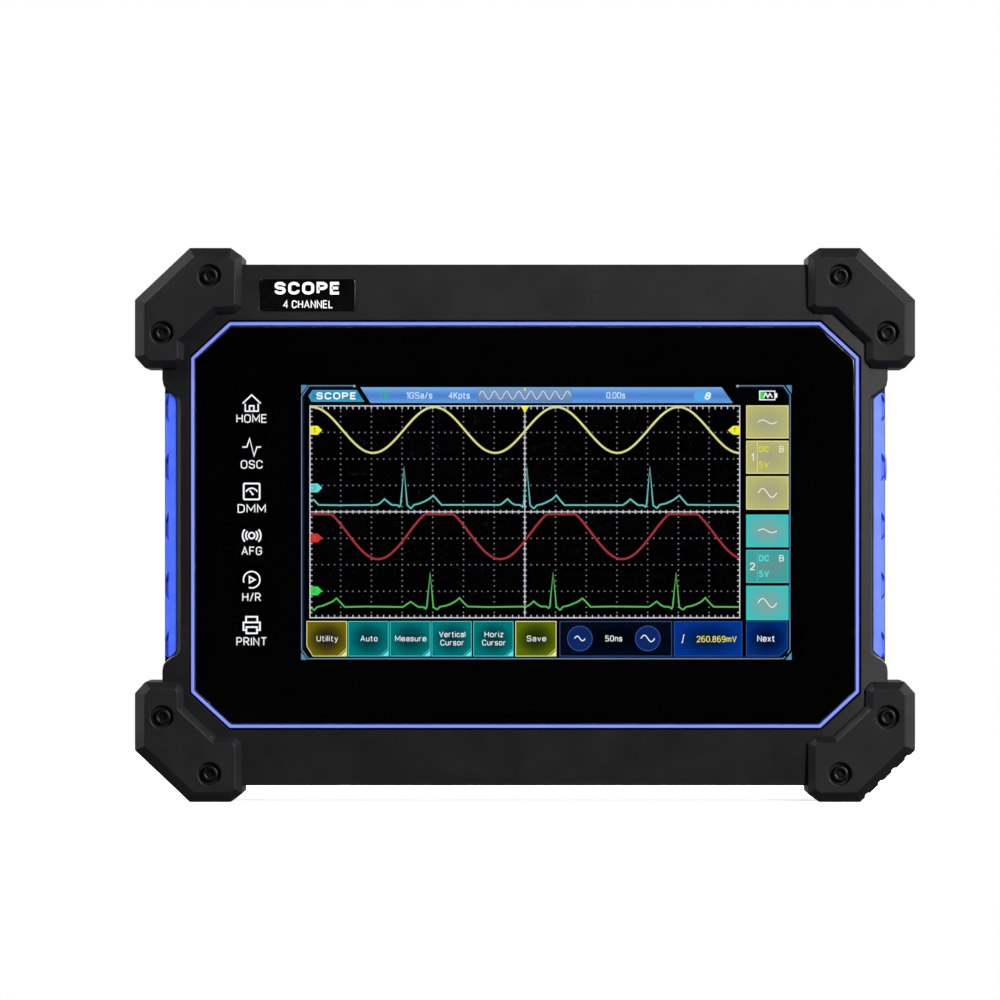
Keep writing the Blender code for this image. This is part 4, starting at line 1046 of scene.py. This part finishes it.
class Plates:
    """Softly shaded plates on the display, in one mesh with a colour at each corner."""

    def __init__(self, level):
        self.level = level
        self.bm = bmesh.new()
        self.tint = self.bm.loops.layers.float_color.new("tint")

    def quad(self, corners, shade, columns=12, rows=10, layer=0):
        """Corners run upper left, upper right, lower right, lower left. Shade(s, t) gives 0 to 255 values."""
        a, b, c, d = (Vector(p) for p in corners)
        front = self.level - layer * LAYER_STEP - PLATE
        grid, shades, faces = [], {}, []
        for j in range(rows + 1):
            grid.append([])
            for i in range(columns + 1):
                s, t = i / columns, j / rows
                spot = (a * (1 - s) + b * s) * (1 - t) + (d * (1 - s) + c * s) * t
                x, z = screen_spot(spot.x, spot.y)
                grid[-1].append(self.bm.verts.new((x, front, z)))
                shades[grid[-1][-1]] = (*linear(shade(s, t)), 1.0)
        for upper, lower in zip(grid, grid[1:]):
            for i in range(columns):
                faces.append(self.bm.faces.new((upper[i], upper[i + 1], lower[i + 1], lower[i])))
        rim = grid[0][:-1] + [row[-1] for row in grid[:-1]] + grid[-1][:0:-1] + [row[0] for row in grid[:0:-1]]
        under = []
        for vert in rim:
            under.append(self.bm.verts.new(vert.co + Vector((0, PLATE, 0))))
            shades[under[-1]] = shades[vert]
        for i in range(len(rim)):
            j = (i + 1) % len(rim)
            faces.append(self.bm.faces.new((rim[i], rim[j], under[j], under[i])))
        faces.append(self.bm.faces.new(under))
        for face in faces:
            for loop in face.loops:
                loop[self.tint] = shades[loop.vert]

    def key(self, outline, edge, centre, layer=1, spread=1.0):
        """A rectangular key, darker or lighter in its middle."""

        def shade(s, t):
            x, y = (s - 0.5) * 2 / spread, (t - 0.5) * 2 / spread
            return mix(centre, edge, min(1.0, (x * x + y * y) ** 0.75))

        self.quad(box(*outline), shade, layer=layer)

    def finish(self):
        bmesh.ops.recalc_face_normals(self.bm, faces=self.bm.faces)
        obj = new_object("screen_keys", mesh_from("screen_keys", self.bm))
        into_frame(obj.data)
        obj.data.materials.append(LOOKS["keys"])
        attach(obj, "case")


def graticule(marks):
    """A dotted grid with ticks along its edges and its middle lines."""
    start, end = (GRID_LEFT, GRID_TOP), (GRID_RIGHT, GRID_BOTTOM)
    middle = [(a + b) / 2 for a, b in zip(start, end)]
    marks.stroke("tick", box(*start, *end), 0.36, 1, closed=True)
    dot = box_outline((0.17, 0.15))

    def dot_at(u, v):
        marks.shape("grey", [(u + x, v + y) for x, y in dot], 1)

    for row in range(1, DIVISIONS[1]):
        for k in range(1, DIVISIONS[0] * 5):
            dot_at(start[0] + k * DIVISION[0] / 5, start[1] + row * DIVISION[1])
    for column in range(1, DIVISIONS[0]):
        for k in range(1, DIVISIONS[1] * 5):
            if k % 5:
                dot_at(start[0] + column * DIVISION[0], start[1] + k * DIVISION[1] / 5)
    ticks = ((1.1, 0.62, 0.9, 0.34), (0.85, 0.6, 0.85, 0.3))
    for along, (first, half, last, width) in enumerate(ticks):
        across = 1 - along

        def line(here, low, high, width, layer):
            path = [(here, low), (here, high)]
            marks.stroke("tick", path if along == 0 else [p[::-1] for p in path], width, layer)

        line(middle[along], start[across], end[across], 0.3, 1)
        for k in range(1, DIVISIONS[along] * 5):
            here = start[along] + k * DIVISION[along] / 5
            line(here, start[across], start[across] + first, width, 2)
            line(here, middle[across] - half, middle[across] + half, width, 2)
            line(here, end[across] - last, end[across], width, 2)


def beat(marks, colour, base, height, first, period, ripple):
    """A heartbeat-like trace that repeats. Base and height are down and up from the top of the display."""
    shape = (
        (-9.2, 0.0), (-8.0, 0.06), (-6.6, 0.16), (-5.2, 0.06), (-4.0, 0.0), (-2.3, 0.0), (-1.5, -0.05), (-1.1, 0.02),
        (0.0, 1.0), (1.1, 0.0), (1.7, -0.05), (2.4, -0.09), (3.4, 0.0), (5.2, 0.03), (7.0, 0.09), (8.6, 0.16),
        (10.0, 0.26), (11.2, 0.14), (12.8, 0.0), (20.0, 0.0),
    )  # fmt: skip
    path = []
    for beat_number in range(-1, 5):
        centre = first + period * beat_number
        for du, rise in shape:
            u = centre + du
            if GRID_LEFT + 0.2 < u < GRID_RIGHT - 0.2:
                shake = ripple * math.sin(u * 7.3) * (0.0 if rise > 0.5 else 1.0)
                path.append((u, base - height * rise + shake))
    first_point, last_point = path[0], path[-1]
    path = [(GRID_LEFT + 0.2, first_point[1])] + path + [(GRID_RIGHT - 0.2, last_point[1])]
    marks.stroke(colour, path, 0.5, 4)


def wave(marks, colour, centre, swing, trough, period, ceiling=None):
    path = []
    for k in range(281):
        u = GRID_LEFT + 0.2 + (GRID_RIGHT - GRID_LEFT - 0.4) * k / 280
        v = centre + swing * math.cos(2 * math.pi * (u - trough) / period)
        if ceiling is not None:
            v = max(v, ceiling)
        path.append((u, v))
    marks.stroke(colour, path, 0.68, 4)


def small_sine(marks, colour, centre, length, swing, width, layer, cycles=1.0):
    path = []
    count = int(20 * cycles)
    for k in range(count + 1):
        s = k / count
        path.append((centre[0] + (s - 0.5) * length, centre[1] - swing * math.sin(2 * math.pi * (s * cycles))))
    marks.stroke(colour, path, width, layer)


def screen_traces(marks):
    wave(marks, "yellow_trace", 15.3, 7.8, 24.5, 41.55)
    wave(marks, "red_trace", 50.4, 8.8, 26.2, 41.5, ceiling=43.9)
    beat(marks, "cyan_trace", 40.8, 12.7, 35.0, 41.8, 0.08)
    beat(marks, "green_trace", 75.4, 11.4, 43.9, 41.8, 0.10)
    channels = (("1", "yellow", 15.4), ("2", "cyan", 35.0), ("3", "red_light", 52.0), ("4", "bright_green", 70.0))
    for number, colour, v in channels:
        arrow = [(3.2, v - 1.5), (5.7, v - 1.5), (7.2, v), (5.7, v + 1.5), (3.2, v + 1.5)]
        marks.shape(colour, arrow, 5)
        marks.text("marker_ink", number, (4.5, v), 1.7, 6)
    right = [(149.2, 13.9), (146.9, 13.9), (145.1, 15.4), (146.9, 16.9), (149.2, 16.9)]
    marks.shape("yellow", right, 5)
    marks.text("marker_ink", "T", (147.5, 15.4), 1.6, 6)
    middle = (GRID_LEFT + GRID_RIGHT) / 2
    marks.shape("yellow", [(middle - 1.5, 7.2), (middle + 1.5, 7.2), (middle, 9.3)], 5)


def screen_frame(marks, plates):
    lines = (
        ("navy_glow", 0.9, 0, [(0.7, 89.6), (0.7, 4.0), (2.9, 0.7), (19.4, 0.7)]),
        ("navy_glow", 0.7, 0, [(148.3, 0.7), (163.8, 0.7), (165.9, 3.8), (165.9, 89.4)]),
        ("navy_glow", 1.1, 0, [(0.4, 90.0), (2.6, 92.7), (163.9, 92.7), (166.0, 89.9)]),
        ("frame_blue", 0.28, 1, [(0.23, 90.0), (0.23, 3.9), (2.75, 0.24), (17.9, 0.24)]),
        ("frame_blue", 0.28, 1, [(148.5, 0.26), (164.0, 0.26), (166.3, 3.5), (166.2, 90.0), (164.0, 93.05)]),
        ("frame_blue", 0.3, 1, [(0.23, 90.0), (2.5, 93.05), (164.0, 93.05)]),
    )
    for colour, width, layer, path in lines:
        marks.stroke(colour, path, width, layer)
    for corner in (
        [(0.05, 0.02), (2.3, 0.02), (0.05, 3.2)], [(166.8, 0.05), (164.8, 0.05), (166.8, 3.0)],
        [(0.05, 93.4), (2.1, 93.4), (0.05, 90.8)], [(166.8, 93.4), (164.7, 93.4), (166.8, 90.8)],
    ):  # fmt: skip
        marks.shape("sky", corner, 1)
    for end in ((18.1, 0.36), (148.4, 0.36)):
        marks.shape("grey", circle(0.42, 12, end), 2)

    def tab_shade(s, t):
        return mix((30, 138, 184), (62, 168, 206), abs(t - 0.5) * 2)

    def bar_shade(s, t):
        edge = mix((122, 182, 238), (112, 172, 234), t)
        return mix((80, 134, 214), edge, min(1.0, abs(t - 0.55) * 2.0) ** 1.2)

    def box_shade(s, t):
        return mix((138, 164, 196), (104, 138, 184), t)

    plates.quad(((3.87, 1.7), (18.95, 1.7), (21.6, 5.72), (3.5, 5.72)), tab_shade, layer=1)
    marks.shape("sky", [(2.5, 3.78), (3.87, 1.7), (3.87, 1.9), (3.52, 5.72)], 1)
    marks.text("white", "SCOPE", (12.0, 3.7), 2.45, 4, weight=0.21, width=13.6)
    plates.quad(((20.2, 0.76), (143.0, 0.76), (146.8, 6.1), (23.6, 6.1)), bar_shade, 40, 12, layer=1)
    marks.text("dim_green", "TD", (28.2, 3.5), 2.3, 4, width=3.3)
    marks.text("bar_ink", "1GSa/s", (40.2, 3.55), 2.35, 4, width=8.9)
    marks.text("bar_ink", "4Kpts", (53.8, 3.55), 2.35, 4, width=7.2)
    marks.text("bar_ink", "0.00s", (107.0, 3.5), 2.3, 4, width=6.4)
    window = box(60.1, 1.25, 92.1, 5.75)
    plates.quad(window, box_shade, 8, 4, layer=2)
    small_sine(marks, "bar_ink", (76.1, 3.5), 31.0, 1.35, 0.24, 4, cycles=7.5)
    marks.stroke("sky", window, 0.14, 3, closed=True)
    marks.stroke("yellow", [(76.1, 0.9), (76.1, 1.9)], 0.5, 4)
    marks.shape("pill", rounded(box_outline((3.1, 1.75), (136.6, 3.7)), 1.7, 6), 3)
    marks.text("white", "8", (138.3, 3.7), 2.5, 4, weight=0.19, slant=0.3, width=1.9)
    battery = (158.5, 3.55)
    marks.band("white", box_outline((2.75, 1.65), battery), box_outline((2.4, 1.3), battery), 2)
    marks.shape("white", box_outline((0.35, 0.75), (161.55, 3.55)), 2)
    marks.shape("bright_green", box_outline((0.75, 1.3), (156.85, 3.55)), 2)
    marks.stroke("white", [(157.3, 4.3), (158.0, 2.8), (158.7, 4.2), (159.4, 2.9), (160.2, 4.3)], 0.45, 4)


def side_keys(marks, plates):
    groups = (
        (((194, 192, 116), (172, 170, 132)), "olive_line", "olive_ink", "1", ((7.1, 18.0), (19.1, 30.0), (31.2, 42.2))),
        (((62, 200, 196), (134, 172, 166)), "teal_line", "teal_ink", "2", ((44.2, 55.0), (56.2, 67.1), (68.4, 79.8))),
    )
    left, right = 151.5, 165.6
    for shades, line, ink, number, rows in groups:
        for index, (top, bottom) in enumerate(rows):
            dimmed = line == "teal_line" and index == 1
            edge, centre = (mix(shade, (60, 128, 122), 0.42) if dimmed else shade for shade in shades)
            plates.key((left, top, right, bottom), edge, centre, spread=1.15)
            marks.stroke(line, box(left, top, right, bottom), 0.3, 2, closed=True)
            middle = ((left + right) / 2, (top + bottom) / 2)
            if index != 1:
                small_sine(marks, "key_ink", middle, 6.4, 0.62 if index == 0 else 1.5, 0.34, 4)
                continue
            marks.text("key_ink", number, (left + 2.0, middle[1]), 2.6, 4, weight=0.15)
            marks.stroke(line, [(left + 3.6, top), (left + 3.6, bottom)], 0.2, 3)
            marks.text(ink, "DC", (left + 5.9, top + 2.7), 2.2, 4, width=3.5, weight=0.2)
            marks.text("key_ink", "B", (right - 2.2, top + 2.7), 2.2, 4, width=1.6)
            marks.text(ink, "5V", (left + 5.9, bottom - 2.9), 2.2, 4, width=3.5, weight=0.2)


def cut_key(left, right, top, bottom, lower_left=0.0, lower_right=0.0):
    """A key's outline, with its lower corners cut off if a size is given."""
    outline = [(left, top), (right, top)]
    cut = [(right, bottom - lower_right * 0.9), (right - lower_right, bottom)]
    outline += cut if lower_right else [(right, bottom)]
    cut = [(left + lower_left * 0.6, bottom), (left, bottom - lower_left)]
    outline += cut if lower_left else [(left, bottom)]
    return outline


def bottom_keys(marks, plates):
    top, bottom = 80.4, 92.15
    middle = (top + bottom) / 2 - 0.1
    teal = ((0, 122, 122), (0, 52, 60), "teal_line", "corner_cyan")
    keys = (
        (2.0, 15.5, (("Utility", 7.3),), ((112, 102, 10), (28, 24, 14), "olive_line", "corner_yellow")),
        (16.1, 29.7, (("Auto", 5.8),), teal),
        (30.3, 43.9, (("Measure", 10.6),), teal),
        (44.5, 57.9, (("Vertical", 8.9), ("Cursor", 8.0)), teal),
        (58.7, 72.1, (("Horiz", 6.4), ("Cursor", 8.0)), teal),
        (73.0, 86.7, (("Save", 6.6),), ((92, 112, 6), (26, 34, 8), "olive_line", "corner_yellow")),
    )
    for left, right, words, (edge, centre, line, corner) in keys:
        first = left < 3.0
        plates.key((left, top, right, bottom), edge, centre)
        if first:
            cut = [(left - 0.1, bottom - 3.4), (left + 2.1, bottom + 0.1), (left - 0.1, bottom + 0.1)]
            marks.shape("black_lit", cut, 2)
        marks.stroke(line, cut_key(left, right, top, bottom, 3.4 if first else 0.0), 0.26, 3, closed=True)
        marks.stroke(line, [(right, bottom - 2.6), (right - 2.9, bottom)], 0.22, 3)
        marks.shape(corner, [(right, bottom), (right, bottom - 1.9), (right - 2.1, bottom)], 4)
        for index, (word, width) in enumerate(words):
            v = middle + (index - (len(words) - 1) / 2) * 2.8
            marks.text("white", word, ((left + right) / 2 + 0.2, v), 2.0, 5, weight=0.12, width=width)
    blues = (
        (88.0, 126.0, (2, 8, 26), (0, 1, 6), 0.0), (126.9, 149.9, (2, 52, 144), (0, 26, 66), 0.0),
        (151.4, 165.3, (2, 46, 122), (0, 14, 52), 2.7),
    )  # fmt: skip
    for left, right, edge, centre, cut in blues:
        plates.key((left, top, right, bottom), edge, centre)
        marks.stroke("navy_line", cut_key(left, right, top, bottom, 0.0, cut), 0.2, 3, closed=True)
    marks.shape("black_lit", [(165.4, bottom - 2.5), (165.4, bottom + 0.1), (162.6, bottom + 0.1)], 2)
    for u, length, swing in ((94.8, 3.6, 0.8), (117.9, 4.7, 1.1)):
        marks.shape("knob_blue", circle(4.15, 40, (u, middle)), 2)
        marks.ring("navy_line", (u, middle), 4.2, 0.26, 3)
        small_sine(marks, "white", (u, middle), length, swing, 0.32, 4)
    marks.text("white", "50ns", (106.3, middle), 2.05, 4, width=5.8)
    marks.text("white", "Next", (158.1, middle), 2.2, 4, width=6.0)
    marks.text("yellow_ink", "260.869mV", (141.3, middle + 0.2), 2.15, 4, width=13.6)
    rise = [(129.3, middle + 1.4), (129.7, middle + 1.4), (130.1, middle - 1.2), (130.5, middle - 1.2)]
    marks.stroke("white", rise, 0.24, 4)


def display_contents():
    marks = Marks("screen", PANEL_FRONT - 0.02, spot=screen_spot, up=-1)
    plates = Plates(PANEL_FRONT - 0.02)
    graticule(marks)
    screen_traces(marks)
    screen_frame(marks, plates)
    side_keys(marks, plates)
    bottom_keys(marks, plates)
    marks.finish("display")
    plates.finish()


# ---- touch-key legends

KEY_X = -92.9
STROKE = 0.48


def icon_home(m, z):
    m.stroke("white", [(-3.1, z - 0.1), (0.0, z + 2.8), (3.1, z - 0.1)], STROKE)
    m.stroke("white", [(-2.2, z - 0.2), (-2.2, z - 2.7), (2.2, z - 2.7), (2.2, z - 0.2)], STROKE, 1)
    m.stroke("white", [(-0.75, z - 2.5), (-0.75, z - 0.9), (0.75, z - 0.9), (0.75, z - 2.5)], 0.5, 2)


def icon_pulse(m, z):
    path = [(-3.2, z + 0.1), (-1.7, z + 0.1), (-0.7, z + 2.9), (0.8, z - 2.9), (1.8, z + 0.1), (3.2, z + 0.1)]
    m.stroke("white", path, STROKE)


def icon_meter(m, z):
    m.band("white", rounded(box_outline((3.0, 3.0), (0, z)), 0.7, 4), rounded(box_outline((2.4, 2.4), (0, z)), 0.35, 4))
    m.arc("white", (0.0, z - 1.0), 2.1, 0.5, 25, 155, 1)
    m.stroke("white", [(0.3, z - 0.9), (-0.7, z + 0.4)], 0.5, 2)
    m.shape("white", circle(0.42, 12, (0.3, z - 0.9)), 3)


def icon_signal(m, z):
    m.ring("white", (0, z), 1.0, 0.55)
    for radius, spread in ((2.0, 46), (3.1, 42)):
        m.arc("white", (0, z), radius, 0.55, -spread, spread, 1)
        m.arc("white", (0, z), radius, 0.55, 180 - spread, 180 + spread, 1)


def icon_play(m, z):
    m.arc("white", (0, z), 2.8, STROKE, -110, 200, 0, 32)
    m.stroke("white", [(-0.75, z + 1.05), (1.1, z), (-0.75, z - 1.05)], 0.5, 1, closed=True)


def icon_printer(m, z):
    m.stroke("white", [(-1.9, z + 0.9), (-1.9, z + 2.8), (1.9, z + 2.8), (1.9, z + 0.9)], 0.58)
    body = [(-1.9, z - 1.7), (-2.8, z - 1.7), (-2.8, z + 0.9), (2.8, z + 0.9), (2.8, z - 1.7), (1.9, z - 1.7)]
    m.stroke("white", body, 0.58, 1)
    m.stroke("white", [(-1.8, z - 0.7), (1.8, z - 0.7), (1.8, z - 2.8), (-1.8, z - 2.8)], 0.58, 2, closed=True)


def touch_key_legends():
    marks = Marks("legend", GLASS_BACK + 0.035, thickness=0.006, step=0.008, spot=lambda u, v: (KEY_X + u, v))
    keys = (
        ("HOME", icon_home, 41.4, 36.2, 10.4), ("OSC", icon_pulse, 26.4, 20.6, 7.5),
        ("DMM", icon_meter, 11.4, 5.6, 9.6), ("AFG", icon_signal, -3.6, -8.8, 7.0),
        ("H/R", icon_play, -18.6, -24.5, 6.4), ("PRINT", icon_printer, -34.0, -39.6, 10.4),
    )  # fmt: skip
    for words, icon, icon_z, text_z, width in keys:
        icon(marks, icon_z)
        marks.text("white", words, (0.0, text_z), 2.95, 0, weight=0.13, width=width)
    marks.finish("glass")


# ---- pieces kept from the CAD model


def carried_over():
    shown = (
        ("rear_cover", "case", 0.25), ("connector_panel", "black", 0.12), ("battery_door", "case", 0.2),
        ("kickstand", "black", 0.25), ("kickstand_pin", "nickel", 0.15),
        ("port_door_pin", "nickel", 0.08), ("dc_jack", "nickel", 0.12), ("hdmi_port", "nickel", 0.1),
        ("usb_a_port", "nickel", 0.1), ("usb_c_port", "nickel", 0.1), ("fan_frame", "black", 0.15),
        ("fan_rotor", "black", 0.12),
    )  # fmt: skip
    hidden = (
        ("glass_gasket", "seal"), ("display_tray", "steel"), ("display_clamp_left", "steel"),
        ("display_clamp_right", "steel"), ("touch_key_board", "board"), ("main_board", "board"),
        ("input_shield", "nickel"), ("heat_sink", "aluminium"), ("speaker", "black"),
        ("port_board", "board"), ("battery_pack", "battery"), ("power_switch", "black"),
    )  # fmt: skip
    for node, look, bevel in shown:
        dress(node, look, bevel)
    for node, look in hidden:
        dress(node, look)


# ---- floor, light and camera


def floor():
    """A pale round floor whose rim fades into the background."""
    bm = bmesh.new()
    bmesh.ops.create_circle(bm, cap_ends=True, segments=96, radius=3.0)
    mesh = mesh_from("floor", bm)
    obj = new_object("floor", mesh)
    look = Look("pale_floor", (243, 243, 244), 0.7)
    look.mottle(60.0, 0.2, (236, 236, 238)).set(SPECULAR, 0.2)
    look.set("Emission Color", (1.0, 1.0, 1.0, 1.0)).set("Emission Strength", 0.8)
    length = look.node("ShaderNodeVectorMath", operation="LENGTH")
    look.link(look.coords, length.inputs[0])
    fade = look.spread(length.outputs["Value"], 0.25, 0.8, 1.0, 0.0)
    look.link(fade, look.shader.inputs["Alpha"])
    mesh.materials.append(look.material)
    obj.visible_glossy = False
    obj.visible_diffuse = False


def surroundings():
    """A white background for the camera, a soft glow for what it lights, and darkness behind the camera.

    The dark part keeps the front glass black, while metal parts still find something bright to reflect.
    """
    world = bpy.data.worlds.new("studio")
    bpy.context.scene.world = world
    world.use_nodes = True
    tree = world.node_tree
    tree.nodes.clear()

    def background(value):
        colour = (value, value, value * 1.005, 1.0)
        return add_node(tree, "ShaderNodeBackground", {"Color": colour}).outputs[0]

    def blend(factor, first, second):
        made = add_node(tree, "ShaderNodeMixShader")
        for socket, source in (("Fac", factor), (1, first), (2, second)):
            tree.links.new(source, made.inputs[socket])
        return made.outputs["Shader"]

    coords = add_node(tree, "ShaderNodeTexCoord")
    split = add_node(tree, "ShaderNodeSeparateXYZ")
    tree.links.new(coords.outputs["Generated"], split.inputs["Vector"])
    span = {"From Min": -0.9, "From Max": -0.2, "To Min": 0.0, "To Max": 1.0}
    front = add_node(tree, "ShaderNodeMapRange", span)
    tree.links.new(split.outputs["Y"], front.inputs["Value"])
    path = add_node(tree, "ShaderNodeLightPath").outputs
    mirrored_in = blend(front.outputs["Result"], background(0.0), background(0.25))
    through = blend(path["Is Transmission Ray"], background(0.12), background(0.0))
    shown = blend(path["Is Glossy Ray"], through, mirrored_in)
    output = add_node(tree, "ShaderNodeOutputWorld")
    tree.links.new(blend(path["Is Camera Ray"], shown, background(1.0)), output.inputs["Surface"])


def softbox(name, at, size, power):
    """An area light. Places are metres."""
    data = bpy.data.lights.new(name, "AREA")
    data.shape = "RECTANGLE"
    data.size, data.size_y = size
    data.energy = power
    obj = new_object(name, data)
    obj.location = at
    obj.rotation_mode = "QUATERNION"
    obj.rotation_quaternion = (Vector(at) - Vector(LIGHT_AIM)).to_track_quat("Z", "Y")


def lights():
    softbox("key_front", (1.62, -2.85, 0.95), (1.1, 1.4), 141.0)
    softbox("right_side", (1.05, 0.02, 0.2), (0.3, 0.7), 4.6)
    softbox("left_side", (-1.05, 0.02, 0.2), (0.3, 0.7), 3.4)
    softbox("upper_right", (0.75, -0.4, 0.85), (0.5, 0.5), 3.9)
    softbox("upper_left", (-0.75, -0.4, 0.85), (0.5, 0.5), 7.8)
    softbox("rear_left", (-1.0, 1.2, 0.8), (0.9, 0.8), 27.0)
    softbox("rear_right", (1.1, 1.1, 0.9), (0.9, 0.8), 36.0)


def camera():
    data = bpy.data.cameras.new("camera")
    data.lens = 300.0
    data.sensor_width = 36.0
    data.shift_x, data.shift_y = -0.025, 0.025
    data.clip_start, data.clip_end = 0.01, 20.0
    obj = new_object("camera", data)
    width_seen = 0.33974  # metres across the view at the case's face
    distance = width_seen * data.lens / data.sensor_width
    obj.location = (MIDDLE.x, MIDDLE.y + CASE_FRONT * MM - distance, MIDDLE.z)
    obj.rotation_euler = (math.radians(90), 0.0, 0.0)
    bpy.context.scene.camera = obj
    bpy.context.scene.view_settings.view_transform = "Standard"


camera()
floor()
surroundings()
lights()
front_bezel()
trim_and_glass()
name_badge()
for corner_name, corner_signs in CORNERS.items():
    corner_guard(corner_name, corner_signs)
all_screws()
hand_grip("left", -1)
hand_grip("right", 1)
top_sockets()
port_flap()
power_button()
display_contents()
touch_key_legends()
carried_over()
